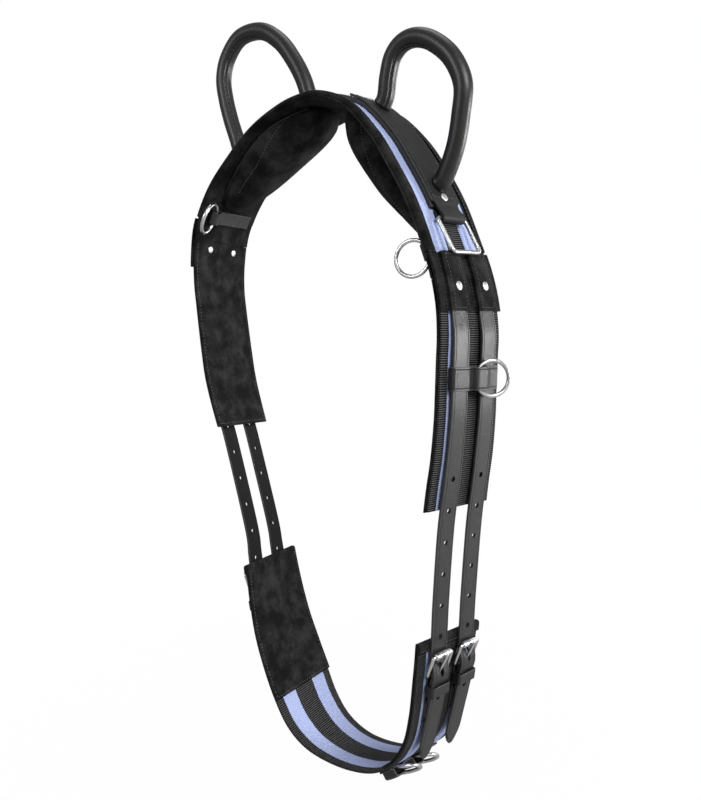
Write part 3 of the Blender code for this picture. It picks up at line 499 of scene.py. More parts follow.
for name, start, end in (("upper", -UPPER_END, UPPER_END),
                         ("belly", BELLY_END[1], GIRTH.length - BELLY_END[-1])):
    strap(name + "_webbing_tape", webbing, WEB_THICK, level(start, end, 0.0), (-WEB_HALF, WEB_HALF),
          edge=1.0, node=name + "_webbing")


# Suede lines the inside of the webbing. Over the back it is brought round both edges and
# sewn down as a soft rolled rim; lower down it is a plain sheet behind each flap. All seams
# of the girth are sewn with the same waxed thread.
SUEDE_THICK = 2.0
RIM_WIDTH = 10.0
RIM_OUT = 52.3
RIM_END = 238.0
FLAP_HALF = 51.5
FLAP_SEAM = 47.5
PADDED_END = 17 * GIRTH.length / 120
WEB_FACE = 1.8
LINING_HEIGHT = -2.8
SUEDE_DARK = (0.0015, 0.0015, 0.0015)
SUEDE_PALE = (0.036, 0.036, 0.035)
THREAD_DARK = (0.03, 0.03, 0.03)
THREAD_PALE = (0.1, 0.1, 0.1)


def brushed_suede(name, pale, patch, rough, weights, depth, strength, **sockets):
    """Black suede, brushed paler in patches; the weights say what nap and patches do to its relief."""
    made = Finish(name, "suede", Roughness=0.95, Specular_IOR_Level=0.06, Sheen_Weight=0.02, **sockets)
    brushed = made.noise(patch, 5, rough)
    nap = made.noise(0.9, 3, 0.8)
    made.colour(made.mix(brushed.rising(0.36, 0.72) * (nap * 0.5 + 0.35) + nap * 0.16, SUEDE_DARK, pale))
    made.relief(nap * weights[0] + brushed * weights[1], depth, strength)
    return made


suede = brushed_suede("brushed suede", SUEDE_PALE, 22, 0.7, (1.0, 0.6), 0.5, 0.8, Sheen_Roughness=0.6)
thread = Finish("waxed thread", Roughness=0.55)
strand = thread.noise(0.5, 2)
thread.colour(thread.mix(strand, THREAD_DARK, THREAD_PALE))
thread.relief(strand, 0.1)


def stitch(bm, place, way, out, length, thick, high):
    """Adds one thread that lies along a direction on a surface facing outward."""
    beside = out.cross(way).normalized()
    size = Matrix.Diagonal((length / 2 * MM, thick * MM, high * MM, 1))
    lying = axes(way, beside, way.cross(beside), place)
    bmesh.ops.create_icosphere(bm, subdivisions=1, radius=1, matrix=lying @ size)


def stitching(name, runs, pitch=4.4, length=2.8, thick=0.5, body="girth"):
    """Threads that lie along runs of (s, y, h)."""
    bm = bmesh.new()
    for run in runs:
        spots = divided(run, 1.0)
        points = [GIRTH.place(*spot) for spot in spots]
        gone = pitch / 2
        for spot, a, b in zip(spots, points, points[1:]):
            gone += (b - a).length / MM
            if gone >= pitch:
                gone -= pitch
                out = GIRTH.frame(spot[0])[3]
                stitch(bm, a, (b - a).normalized(), out, length, thick, thick * 0.8)
    return finished(name, bm, thread, body=body)


def rows(side, start, end, places, h):
    """Seams along the girth from one length to another, one at each place across."""
    return [[(side * start, y, h), (side * end, y, h)] for y in places]


def bars(side, lengths, start, end, h):
    """Seams across the girth from one place to another, one at each length."""
    return [[(side * s, start, h), (side * s, end, h)] for s in lengths]


rim = [(RIM_OUT - RIM_WIDTH, WEB_FACE + 1.1), (RIM_OUT - 6, WEB_FACE + 1.6), (RIM_OUT - 3, WEB_FACE + 1.3),
       (RIM_OUT - 1.2, 0.4), (RIM_OUT - 1.6, -1.8), (RIM_OUT - 4, LINING_HEIGHT)]
section = smooth([(-y, h) for y, h in rim] + [(0, LINING_HEIGHT)] + rim[::-1], 4)
strap("upper_lining_suede", suede, SUEDE_THICK, section, (-RIM_END, RIM_END), "section",
      edge=0.6, node="upper_lining")
seam = RIM_OUT - RIM_WIDTH + 0.4
stitching("rim_stitching", rows(1, 3 - RIM_END, RIM_END - 3, (-seam, seam), WEB_FACE + 2.15))
for side, name in SIDES:
    tail = level(RIM_END + 0.3, PADDED_END, LINING_HEIGHT)
    flap = level(PADDED_END + 0.3, UPPER_END + 1, LINING_HEIGHT)
    strap(name + "_upper_lining_tail", suede, SUEDE_THICK, tail, (-RIM_OUT, RIM_OUT), side=side, edge=0.6)
    strap(name + "_flap_lining_suede", suede, SUEDE_THICK, flap, (-FLAP_HALF, FLAP_HALF), side=side,
          edge=0.6, node=name + "_flap_lining")
    low = LINING_HEIGHT - 1.05
    stitching(name + "_flap_stitching",
              rows(side, PADDED_END + 4, UPPER_END - 3, (-FLAP_SEAM, FLAP_SEAM), low)
              + bars(side, (UPPER_END - 3,), -FLAP_SEAM, FLAP_SEAM, low))


# Under the crown lie two stuffed cushions of the same suede, one to each side of the horse's
# backbone. Each is flat where it is sewn to the lining, fat at the front edge, and tapers to
# its ends. A welt runs along its front face, and a stitched line draws in its inner face.
PAD_START = 16.0
PAD_LENGTH = 204.0
PAD_FRONT = 47.0
PAD_BACK = 62.0
PAD_DEPTH = 42.0
PAD_EDGE = 4.0
PAD_TOP = -4.1
PAD_ROWS = 10
PAD_VOXEL = 5.0
PAD_SWELL = 5.0
COVER_PRESSURE = 4
COVER_MASS = 0.25
COVER_STIFFNESS = 20
COVER_STEPS = 20
WELT_RADIUS = 1.4
WELT_LINE = [(s, 0.07) for s in range(34, 216, 4)]
CUSHION_PALE = (0.046, 0.046, 0.045)
SEWN_LINE = ((42, 0.06), (62, 0.12), (82, 0.33), (108, 0.5), (134, 0.6), (158, 0.62), (182, 0.66))
SEWN_DEEP = 3.0
SEWN_WIDE = 6.0

cushion_suede = brushed_suede("cushion suede", CUSHION_PALE, 28, 0.65, (0.7, 1.0), 0.7, 0.7)
# The welt's piping is painted paler than the cushion suede, a painted highlight for the light line the
# raised cord catches along the front face.
piping = Finish("suede piping painted pale", "suede", Roughness=0.8, Specular_IOR_Level=0.3)
uneven = piping.noise(3, 4, 0.7)
piping.colour(piping.mix(uneven, (0.02, 0.02, 0.02), (0.09, 0.09, 0.088)))
piping.relief(uneven, 0.3)


def fullness(s):
    """How full a cushion is at a length from the crown, where 1 is its fattest part."""
    return math.sin(math.pi * (0.06 + 0.88 * ((s - PAD_START) / PAD_LENGTH)**0.8)) ** 0.7


def cushion_shape():
    """The cushion before it is stuffed, in metres along, across and outward of the flat girth."""
    bm = bmesh.new()
    sections = []
    for i in range(PAD_ROWS + 1):
        s = PAD_START + PAD_LENGTH * i / PAD_ROWS
        full = fullness(s)
        front = PAD_FRONT * (0.35 + 0.65 * full)
        back = PAD_BACK * full
        depth = PAD_EDGE + PAD_DEPTH * full
        outline = [
            (-front, -1), (-front * 0.45, 0), (back * 0.4, 0), (back * 0.8, -1),
            (back, -0.15 * depth), (back * 0.76, -0.44 * depth), (back * 0.22, -0.86 * depth),
            (-front * 0.45, -depth), (-front * 0.97, -0.72 * depth),
        ]
        sections.append([bm.verts.new((s * MM, y * MM, (PAD_TOP + h) * MM)) for y, h in outline])
    for a, b in zip(sections, sections[1:]):
        for j in range(len(a)):
            k = (j + 1) % len(a)
            bm.faces.new((a[j], a[k], b[k], b[j]))
    bm.faces.new(sections[0][::-1])
    bm.faces.new(sections[-1])
    bmesh.ops.recalc_face_normals(bm, faces=bm.faces)
    return bm


def settled(piece):
    """Gives a piece the shape its modifiers make of it, and takes the modifiers off."""
    bpy.context.view_layer.update()
    mesh = bpy.data.meshes.new_from_object(piece.evaluated_get(bpy.context.evaluated_depsgraph_get()))
    piece.modifiers.clear()
    piece.data = mesh


def subdivided(piece, levels):
    rounding = piece.modifiers.new("rounding", "SUBSURF")
    rounding.levels = rounding.render_levels = levels


def stuffed(bm):
    """The same shape blown up a little under its own cover, held where it is sewn down."""
    piece = meshed("cushion", bm)
    subdivided(piece, 2)
    skin = piece.modifiers.new("skin", "REMESH")
    skin.mode = "VOXEL"
    skin.voxel_size = PAD_VOXEL * MM
    settled(piece)
    before = [v.co.copy() for v in piece.data.vertices]
    held = piece.vertex_groups.new(name="held")
    held.add([i for i, co in enumerate(before) if co.z > (PAD_TOP - 2) * MM], 1.0, "REPLACE")
    cloth = piece.modifiers.new("cover", "CLOTH")
    cloth.settings.use_pressure = True
    cloth.settings.uniform_pressure_force = COVER_PRESSURE
    cloth.settings.mass = COVER_MASS
    cloth.settings.tension_stiffness = COVER_STIFFNESS
    cloth.settings.compression_stiffness = COVER_STIFFNESS
    cloth.settings.vertex_group_mass = "held"
    cloth.settings.effector_weights.gravity = 0
    for step in range(1, COVER_STEPS + 1):
        bpy.context.scene.frame_set(step)
    settled(piece)
    bpy.context.scene.frame_set(1)
    for vert, co in zip(piece.data.vertices, before):
        moved = vert.co - co
        if moved.length > PAD_SWELL * MM:
            vert.co = co + moved.normalized() * PAD_SWELL * MM
        vert.co.z = min(vert.co.z, (PAD_TOP - 0.1) * MM)
    return piece


def front_points(piece, path):
    """Points on the front face of a cushion, from pairs of length and share of its depth."""
    whole = bmesh.new()
    whole.from_mesh(piece.data)
    tree = BVHTree.FromBMesh(whole)
    whole.free()
    found = []
    for s, share in path:
        h = PAD_TOP - share * (PAD_EDGE + PAD_DEPTH * fullness(s))
        found.append(tree.ray_cast(Vector((s * MM, -0.1, h * MM)), Vector((0, 1, 0)))[0])
    return [spot for spot in found if spot]


def drawn_in(piece, spots):
    """Presses a sewn line into the front face of a cushion."""
    for vert in piece.data.vertices:
        away = min((vert.co - spot).length for spot in spots) / (SEWN_WIDE * MM)
        vert.co.y += SEWN_DEEP * MM * math.exp(-away * away)


def tube(points, radius, normal, closed=False, sides=14, swell=None):
    """A round bar through points in metres, which bends round a normal.

    A swell gives the share of the radius for a share of the length and a turn.
    """
    bm = bmesh.new()
    rings = []
    count = len(points)
    for i, point in enumerate(points):
        last = points[i - 1] if closed or i else point
        after = points[(i + 1) % count] if closed or i < count - 1 else point
        way = (after - last).normalized()
        side = way.cross(normal).normalized()
        over = side.cross(way)
        ring = []
        for k in range(sides):
            turn = math.tau * k / sides
            size = radius * MM * (swell(i / (count - 1), turn) if swell else 1)
            ring.append(bm.verts.new(point + (side * math.cos(turn) + over * math.sin(turn)) * size))
        rings.append(ring)
    for a, b in zip(rings, rings[1:] + rings[:1] if closed else rings[1:]):
        for k in range(sides):
            n = (k + 1) % sides
            bm.faces.new((a[k], a[n], b[n], b[k]))
    if not closed:
        bm.faces.new(rings[0])
        bm.faces.new(rings[-1])
    bmesh.ops.recalc_face_normals(bm, faces=bm.faces)
    return bm


for side, name in SIDES:
    piece = stuffed(cushion_shape())
    sewn = divided(SEWN_LINE, 2.0)
    drawn_in(piece, front_points(piece, sewn))
    subdivided(piece, 1)
    settled(piece)
    inner = [(side * s / MM, y / MM - 0.3, h / MM) for s, y, h in front_points(piece, sewn)]
    border = front_points(piece, WELT_LINE)
    border = [GIRTH.place(side * s / MM, y / MM - 0.5, h / MM) for s, y, h in border]
    bm = bmesh.new()
    bm.from_mesh(piece.data)
    for vert in bm.verts:
        s, y, h = vert.co / MM
        vert.co = GIRTH.place(side * s, y, h)
    bmesh.ops.recalc_face_normals(bm, faces=bm.faces)
    bpy.data.objects.remove(piece)
    cushion = finished(name + "_cushion", bm, cushion_suede, node=name + "_pad")
    finished(name + "_cushion_welt", tube(border, WELT_RADIUS, Vector((0, 1, 0))), piping)
    stitching(name + "_cushion_stitching", [inner], pitch=3.8, length=2.6, thick=0.55)


# Doubled black leather runs along the crown under the plates. It is bridle leather: smooth,
# waxed, with a fine grain, a line creased near each edge and a row of stitches beside it.
LEATHER_DARK = (0.004, 0.004, 0.0042)
LEATHER_PALE = (0.012, 0.012, 0.0126)
CREASE_PAINTED_SHADE = (0.001, 0.001, 0.001)
EDGE_PAINTED_HIGHLIGHT = (0.05, 0.05, 0.05)
STRAP_HALF = 25.0
STRAP_THICK = 4.2
STRAP_SEAM = 20.5
PLATE_START = 22.0
PLATE_END = 192.0


def leather(name, half=None, shine=0.36, polish=0.45):
    """Black leather; half the width of the strap sets where the creased lines lie."""
    made = Finish(name, Specular_IOR_Level=polish, Coat_Weight=0.04, Coat_Roughness=0.3)
    grain = made.cells(1.1)
    cloud = made.noise(60, 3, 0.5)
    fine = made.noise(1.6, 3, 0.7)
    scuff = made.noise(7, 4, 0.75).rising(0.6, 0.8)
    shade = made.mix(cloud * 0.4 + fine * 0.3 + scuff * 0.3, LEATHER_DARK, LEATHER_PALE)
    height = grain.rising(0.0, 0.16) * 0.35 + fine * 0.3
    uneven = cloud * 0.08 + fine * 0.08 + scuff * 0.1 + (shine - 0.04)
    if half:
        across = abs(made.sheet()[1])
        # The creased line is painted darker, which is painted shade in its groove; the relief below also
        # presses it in.
        crease = across.between(half - 3.3, half - 2.2, 0.3)
        # The strap's very edge is painted paler, a painted highlight along its rounded edge.
        edge = across.rising(half - 1.3, half - 0.4)
        shade = made.mix(edge * 0.7, made.mix(crease, shade, CREASE_PAINTED_SHADE), EDGE_PAINTED_HIGHLIGHT)
        height = height - crease * 1.8
        uneven = uneven + crease * 0.4
    made.colour(shade)
    made.roughness(uneven)
    made.relief(height, 0.28, 0.8)
    return made


wide_leather = leather("wide strap leather", STRAP_HALF, 0.5, 0.2)
plain_leather = leather("plain leather")
strap("top_strap_leather", wide_leather, STRAP_THICK, level(2 - PLATE_END, PLATE_END - 2, STRAP_THICK),
      (-STRAP_HALF, STRAP_HALF), edge=0.9, node="top_strap")
stitching("top_strap_stitching",
          rows(1, -PLATE_START - 8, PLATE_START + 8, (-STRAP_SEAM, STRAP_SEAM), STRAP_THICK * 1.5 + 0.1))


# A leather plate covers the feet of each handle. It is sewn down round its edge, held by a
# rivet beyond each leg, and its narrowed end is rolled round the top bar of the square ring.
PLATE_THICK = 2.8
PLATE_FACE = 9.4
LEG_UPPER = 48.0
LEG_LOWER = 163.0
RIVETS_AT = (LEG_UPPER - 16, LEG_LOWER + 16)
RIVET_HEAD = (5.0, 1.3)
RIVET_BACK = (4.5, 1.0)
ROLL_HALF = 19.7
SQUARE_AT = 203.0
SQUARE_WIRE = 2.3
SQUARE_HEIGHT = 7.4

nickel = Finish("bright nickel", "nickel", Metallic=1.0)
haze = nickel.noise(14, 3, 0.6)
marks = nickel.noise(0.8, 4, 0.8)
nickel.colour(nickel.mix(haze, (0.48, 0.48, 0.47), (0.7, 0.69, 0.68)))
nickel.roughness(haze * 0.12 + marks * 0.05 + 0.2)
nickel.relief(haze, 0.04, 0.25)

rivet_metal = Finish("dull nickel", "nickel", Metallic=1.0)
marks = rivet_metal.noise(1.2, 4, 0.8)
rivet_metal.colour(rivet_metal.mix(marks, (0.42, 0.42, 0.42), (0.62, 0.62, 0.61)))
rivet_metal.roughness(marks * 0.15 + 0.38)
rivet_metal.relief(marks, 0.1)


def arc(cx, cy, radius, start, end, steps):
    turns = [math.radians(start + (end - start) * i / steps) for i in range(steps + 1)]
    return [(cx + radius * math.cos(t), cy + radius * math.sin(t)) for t in turns]


def dome(bm, matrix, radius, height, rings=5, sides=20):
    """Adds a domed rivet head that stands on a frame."""
    turns = [math.pi / 2 * k / rings for k in range(rings)]
    levels = []
    for r, z in [(radius * 0.96, -0.6), *((radius * math.cos(t), height * math.sin(t)) for t in turns)]:
        levels.append([bm.verts.new(matrix @ Vector((r * MM * math.cos(a), r * MM * math.sin(a), z * MM)))
                       for a in (math.tau * k / sides for k in range(sides))])
    tip = bm.verts.new(matrix @ Vector((0, 0, height * MM)))
    for k in range(sides):
        n = (k + 1) % sides
        for a, b in zip(levels, levels[1:]):
            bm.faces.new((a[k], a[n], b[n], b[k]))
        bm.faces.new((levels[-1][k], levels[-1][n], tip))
    bm.faces.new(levels[0][::-1])


def narrowed(s):
    """The width of a plate along its length, which is cut in before the roll."""
    share = min(max((s - PLATE_END + 9) / 6, 0.0), 1.0)
    return 1.0 - (1 - ROLL_HALF / STRAP_HALF) * share * share * (3 - 2 * share)


for side, name in SIDES:
    middle = PLATE_FACE - PLATE_THICK / 2
    around = SQUARE_WIRE + 0.4 + PLATE_THICK / 2
    path = level(PLATE_START, PLATE_END - 8, middle, 4)
    path += [(PLATE_END - 4, middle), (PLATE_END + 0.5, middle + 0.3)]
    path += [(SQUARE_AT - 4.5, SQUARE_HEIGHT + around - 1.0)]
    path += arc(SQUARE_AT, SQUARE_HEIGHT, around, 90, -90, 14) + [(PLATE_END + 0.6, SQUARE_HEIGHT - around)]
    strap(name + "_handle_plate_leather", wide_leather, PLATE_THICK, path, (-STRAP_HALF, STRAP_HALF),
          side=side, width=narrowed, edge=0.8, node=name + "_handle_plate")
    start, end = side * (PLATE_START + 4.5), side * (PLATE_END - 12)
    corners = ((start, -STRAP_SEAM), (end, -STRAP_SEAM), (end, STRAP_SEAM), (start, STRAP_SEAM))
    seam = [(s, y, PLATE_FACE + 0.1) for s, y in (*corners, corners[0])]
    stitching(name + "_plate_stitching", [seam])
    bm = bmesh.new()
    for s in RIVETS_AT:
        dome(bm, GIRTH.matrix(side, s, 0, PLATE_FACE + 0.1), *RIVET_HEAD)
    finished(name + "_handle_rivets", bm, rivet_metal, node=name + "_handle_core")


# Each handle is a bent steel rod in a sewn leather tube. The seam lies inside the bend and
# towards the front, where the edges of the leather stand up on both sides of the stitches.
# The arch gives the place between the feet, as a share of their distance, and the height.
HANDLE_RADIUS = 10.2
HANDLE_FOOT = (2.6, 19.0)
HANDLE_TRIM = 7.3
HANDLE_STITCH = 5.0
SEAM_TURN = 145
HANDLE_ARCH = {
    1: [
        (-0.655, 35), (-0.745, 52), (-0.745, 69), (-0.655, 84), (-0.48, 95), (-0.22, 100),
        (0.04, 93), (0.225, 73), (0.40, 48),
    ],
    -1: [
        (-0.585, 42), (-0.585, 70), (-0.54, 102), (-0.40, 132), (-0.14, 149), (0.12, 143),
        (0.29, 126), (0.38, 102), (0.44, 75), (0.48, 48),
    ],
}
GRIP_DARK = (0.002, 0.002, 0.0021)
GRIP_PALE = (0.011, 0.011, 0.0115)

grip = Finish("handle leather", Specular_IOR_Level=0.45, Coat_Weight=0.04, Coat_Roughness=0.25)
folds = grip.noise(9, 4, 0.7)
fine = grip.noise(1.2, 3, 0.7)
cloud = grip.noise(40, 3, 0.6)
crumple = grip.cells(3.2).rising(0.0, 0.2)
grip.colour(grip.mix(cloud * 0.5 + folds * 0.3 + fine * 0.2, GRIP_DARK, GRIP_PALE))
grip.roughness(cloud * 0.08 + folds * 0.1 + 0.3)
grip.relief(folds * 0.6 + fine * 0.25 + crumple * 0.2, 0.3, 0.6)


def seamed(share, turn, seam):
    """The shape of the tube round its section: two lips beside a groove at the seam."""
    away = math.degrees(abs((turn - seam + math.pi) % math.tau - math.pi))
    lips = 0.05 * math.exp(-((away - 13) / 7) ** 2)
    groove = -0.12 * math.exp(-(away / 5.5) ** 2)
    cuff = 0.05 * math.exp(-(min(share, 1 - share) / 0.012) ** 2)
    return 0.97 + lips + groove + cuff


for side, name in SIDES:
    upper, _, _, out_upper = GIRTH.frame(side * LEG_UPPER)
    lower, _, _, out_lower = GIRTH.frame(side * LEG_LOWER)
    centre = (upper + lower) / 2
    apart = (lower - upper).length
    down = (lower - upper).normalized()
    out = out_upper + out_lower
    out = (out - down * out.dot(down)).normalized()
    arch = [tuple(centre + down * u * apart + out * v) for u, v in HANDLE_ARCH[side]]
    arch = [tuple(upper + out_upper * h) for h in HANDLE_FOOT] + arch
    arch += [tuple(lower + out_lower * h) for h in HANDLE_FOOT[::-1]]
    rod = [Vector(p) for p in divided(smooth(arch, 10), 3.0)]
    rod = [p * MM for p in rod if min((p - rod[0]).length, (p - rod[-1]).length) > HANDLE_TRIM]
    normal = out.cross(down)
    seam = -math.radians(SEAM_TURN) * side
    bm = tube(rod, HANDLE_RADIUS, normal, sides=60, swell=lambda share, turn: seamed(share, turn, seam))
    finished(name + "_handle_leather", bm, grip, node=name + "_handle_cover")
    bm = bmesh.new()
    gone = 0.0
    for a, b in zip(rod[4:-4], rod[5:-3]):
        gone += (b - a).length / MM
        if gone >= HANDLE_STITCH:
            gone = 0.0
            way = (b - a).normalized()
            out = way.cross(normal).normalized() * math.cos(seam) + normal * math.sin(seam)
            stitch(bm, a + out * HANDLE_RADIUS * 0.93 * MM, way, out, 3.6, 0.55, 0.55)
    finished(name + "_handle_stitching", bm, thread)


# The square ring is bent from round wire and welded in one corner. It hangs in the roll of
# the plate, and a strap or the clip of a side rein goes through it.
SQUARE_WIDTH = 54.0
SQUARE_DEEP = 46.0
SQUARE_CORNER = 5.0
SQUARE_LEAN = math.radians(-6)


def bent_wire(width, deep, corner, first=0.0):
    """Points in mm of a rounded rectangle whose first bar lies on Y at the given X."""
    points = []
    low, high, half = first, first + deep, width / 2
    for cx, cy, start in ((high, half, 0), (low, half, 90), (low, -half, 180), (high, -half, 270)):
        mx = cx - math.copysign(corner, cx - (low + high) / 2)
        my = cy - math.copysign(corner, cy)
        points += [(x, y, 0) for x, y in arc(mx, my, corner, start, start + 90, 9)]
    return divided(points + points[:1], 1.5)[:-1]


def ring(name, node, points, radius, matrix, sides=20):
    """A closed bar of bright metal that stands in its own frame and moves by itself."""
    path = [matrix @ (Vector(p) * MM) for p in points]
    bm = tube(path, radius, matrix.to_3x3() @ Vector((0, 0, 1)), True, sides)
    return finished(name, bm, nickel, node=node, body=node)


for side, name in SIDES:
    bar = GIRTH.matrix(side, SQUARE_AT, 0, SQUARE_HEIGHT) @ Matrix.Rotation(SQUARE_LEAN, 4, "Y")
    points = bent_wire(SQUARE_WIDTH - 2 * SQUARE_WIRE, SQUARE_DEEP - 2 * SQUARE_WIRE, SQUARE_CORNER)
    ring(name + "_square_ring_wire", name + "_square_ring", points, SQUARE_WIRE, bar)


# A suede patch is sewn across the webbing over the upper ends of the two billets. It stands
# up in a channel over each of them, between double rows of stitches, and a domed rivet goes
# through patch, billet, webbing and lining.
BILLET_SIDE = 23.5
BILLET_WIDTH = 25.0
BILLET_THICK = 3.5
PATCH_START = 241.0
PATCH_END = 303.0
PATCH_HALF = WEB_HALF + 2.3
PATCH_LOW = WEB_FACE + 1.0
PATCH_HIGH = WEB_FACE + 1.5 + BILLET_THICK + 1.0
CHANNEL_HALF = BILLET_WIDTH / 2 + 1.6
RIVET_AT = 278.0
EDGES = ((-BILLET_SIDE, "front"), (BILLET_SIDE, "rear"))
BUCKLES = [(side, f"{name}_{edge_name}", y) for side, name in SIDES for y, edge_name in EDGES]


def raised(y, rise):
    """The outline of a sheet in (y, h) that rises over something, the same on both sides of y."""
    return [(y - away, h) for away, h in rise] + [(y + away, h) for away, h in rise[::-1]]


for side, name in SIDES:
    rise = [(CHANNEL_HALF + 3, PATCH_LOW), (CHANNEL_HALF + 1.5, PATCH_LOW + 0.9),
            (CHANNEL_HALF - 0.2, PATCH_HIGH - 1.0), (CHANNEL_HALF - 2.2, PATCH_HIGH - 0.1)]
    path = [(-PATCH_HALF, PATCH_LOW), (-PATCH_HALF + 3, PATCH_LOW)]
    path += raised(-BILLET_SIDE, rise) + raised(BILLET_SIDE, rise)
    path += [(PATCH_HALF - 3, PATCH_LOW), (PATCH_HALF, PATCH_LOW)]
    strap(name + "_billet_patch_suede", suede, SUEDE_THICK - 0.1, divided(smooth(path, 4), 1.5),
          (PATCH_START, PATCH_END), "section", side, node=name + "_billet_patch")
    seams = []
    for y, _ in EDGES:
        for away, h in ((CHANNEL_HALF + 3.9, PATCH_LOW + 1.05), (CHANNEL_HALF - 3.6, PATCH_HIGH + 1.0)):
            seams += rows(side, PATCH_START + 2.5, PATCH_END - 2.5, (y - away, y + away), h)
        seams += bars(side, (PATCH_START + 3, PATCH_END - 3), y - CHANNEL_HALF + 4, y + CHANNEL_HALF - 4,
                      PATCH_HIGH + 1.0)
    stitching(name + "_patch_stitching", seams, pitch=3.8, length=2.4, thick=0.42)
    for y, edge_name in EDGES:
        bm = bmesh.new()
        dome(bm, GIRTH.matrix(side, RIVET_AT, y, PATCH_HIGH + 1.05), *RIVET_HEAD)
        dome(bm, GIRTH.matrix(side, RIVET_AT, y, -3.95) @ Matrix.Rotation(math.pi, 4, "X"), *RIVET_BACK)
        finished(f"{name}_{edge_name}_rivet_heads", bm, rivet_metal,
                 node=f"{name}_{edge_name}_billet_rivet")


# Two leather billets hang from each side, punched with eight holes. Each goes between the
# roller and the webbing of the belly girth, over the tongue's heel, and its tail is tucked
# under a keeper. A line is creased along both edges, and the tip is cut to a blunt point.
BILLET_START = 246.0
BILLET_END = BILLET_START + 559.0
BILLET_LIFT = 6.2
BILLET_TIP = 24.0
FIRST_HOLE = 478.0
HOLE_COUNT = 8
HOLE_PITCH = 35.0
HOLE_RADIUS = 3.0
HOLE_STRETCH = 2.9
HOLE_IN_USE = {1: 6, -1: 7}
HOLE_TO_ROLLER = 16.0
HEEL_AT = 24.0
CHAPE_LENGTH = 82.0
LEATHER = 2.2
BUCKLE_WIRE = 2.0
ROLLER_RADIUS = 3.5
HEEL_HEIGHT = WEB_FACE + LEATHER + BUCKLE_WIRE + 0.3
ROLLER_HEIGHT = WEB_FACE + SUEDE_THICK + BILLET_THICK + ROLLER_RADIUS + 1.2
POCKET_HEIGHT = WEB_FACE + LEATHER * 2.5 + 0.6

billet_leather = leather("billet leather", BILLET_WIDTH / 2, 0.29)
flesh_side = leather("flesh side of billets", None, 0.85, 0.12)


def roller_place(side):
    return FIRST_HOLE + HOLE_PITCH * HOLE_IN_USE[side] - HOLE_TO_ROLLER


def billet_line(side):
    """The line through the middle of a billet, which bows out over the buckle's heel bar."""
    roller = roller_place(side)
    half = BILLET_THICK / 2
    flat = WEB_FACE + 0.6 + half
    under = WEB_FACE + SUEDE_THICK + 0.3 + half
    over = HEEL_HEIGHT + BUCKLE_WIRE + 0.6 + LEATHER + half
    keeper = POCKET_HEIGHT + LEATHER / 2 + 0.3 + half
    tail = WEB_FACE + 2 * LEATHER + 0.6 + half + 0.4
    heights = [
        (BILLET_START, flat), (BILLET_START + 18, flat), (BILLET_START + 36, flat), (PATCH_END - 5, flat),
        (PATCH_END + 6, flat + 0.2), (PATCH_END + 22, BILLET_LIFT - 0.3),
        *((s, BILLET_LIFT) for s in (PATCH_END + 36, 373, 413, UPPER_END - 40, UPPER_END + 20)),
        (roller - 60, under + 0.1), (roller - 25, under), (roller - 8, under), (roller + 2, under + 0.2),
        (roller + 7, under + 1.8), (roller + 15, over - 2.0), (roller + 21, over), (roller + 27, over),
        (roller + 34, keeper + 0.3), (roller + 41, keeper), (roller + 48, keeper),
        (roller + 56, keeper - 0.8), (roller + 68, tail + 0.5), (roller + CHAPE_LENGTH, tail),
    ]
    return Line(GIRTH.offset([(side * s, h) for s, h in heights]), start=BILLET_START, side=side)


def along_billet(line, side, s, height):
    """The length along a billet at which it passes a point of the girth."""
    target = GIRTH.place(side * s, 0, height)
    places = [line.at[0] + k * 0.5 for k in range(1200)]
    return min(places, key=lambda at: (line.place(at, 0, 0) - target).length)


def pointed(s):
    """The width of a billet along its length, which is cut to a blunt point."""
    left = max(BILLET_END - s, 0.0) / BILLET_TIP
    return 1.0 if left > 1 else 0.17 + 0.83 * math.sin(math.pi / 2 * left) ** 0.75


def punch(matrices, stretch=1.0):
    """Round punches, or drawn-out ones, that stand along the Z of each frame."""
    bm = bmesh.new()
    for matrix in matrices:
        size = matrix @ Matrix.Diagonal((stretch, 1, 1, 1))
        bmesh.ops.create_cone(bm, cap_ends=True, segments=20, radius1=HOLE_RADIUS * MM,
                              radius2=HOLE_RADIUS * MM, depth=16 * MM, matrix=size)
    return bm


def cut(piece, cutters):
    """Cuts some shapes out of a piece and keeps the edges of the cuts crisp."""
    settled(piece)
    for bm in cutters:
        bmesh.ops.recalc_face_normals(bm, faces=bm.faces)
        cutter = meshed("cutter", bm)
        hole = piece.modifiers.new("cut", "BOOLEAN")
        hole.operation = "DIFFERENCE"
        hole.solver = "EXACT"
        hole.object = cutter
        settled(piece)
        bpy.data.objects.remove(cutter)
    for face in piece.data.polygons:
        face.use_smooth = True
    piece.data.set_sharp_from_angle(angle=math.radians(50))
    evened(piece)


BILLET_LINES = {side: billet_line(side) for side, _ in SIDES}
billet = level(BILLET_START, BILLET_END - 26, 0.0, 4) + level(BILLET_END - 25, BILLET_END, 0.0, 1.5)
for side, title, y in BUCKLES:
    line = BILLET_LINES[side]
    piece = strap(title + "_billet_leather", billet_leather, BILLET_THICK - 0.2, billet,
                  (y - BILLET_WIDTH / 2, y + BILLET_WIDTH / 2), line=line, width=pointed, edge=0.8,
                  inside=flesh_side, node=title + "_billet")
    used = along_billet(line, side, roller_place(side) + HOLE_TO_ROLLER, HEEL_HEIGHT + 5)
    frames = [line.matrix(1, used + HOLE_PITCH * (k - HOLE_IN_USE[side]), y) for k in range(HOLE_COUNT)]
    slot = frames.pop(HOLE_IN_USE[side])
    cut(piece, [punch(frames), punch([slot], HOLE_STRETCH)])


# A narrow leather strap is sewn across the inside of the girth below each cushion. Near the
# front edge it is folded round a ring, which takes a side rein on that side.
SEAM_LIFT = LEATHER / 2 + 0.05
RING_STRAP_AT = 233.0
RING_STRAP_HALF = 9.0
RING_RADIUS = 19.0
RING_WIRE = 2.2
FRONT_RING_Y = -34.0
FRONT_RING_HEIGHT = -10.6
FRONT_RING_TOWARD = {1: (-0.3, -0.954), -1: (-0.927, -0.375)}


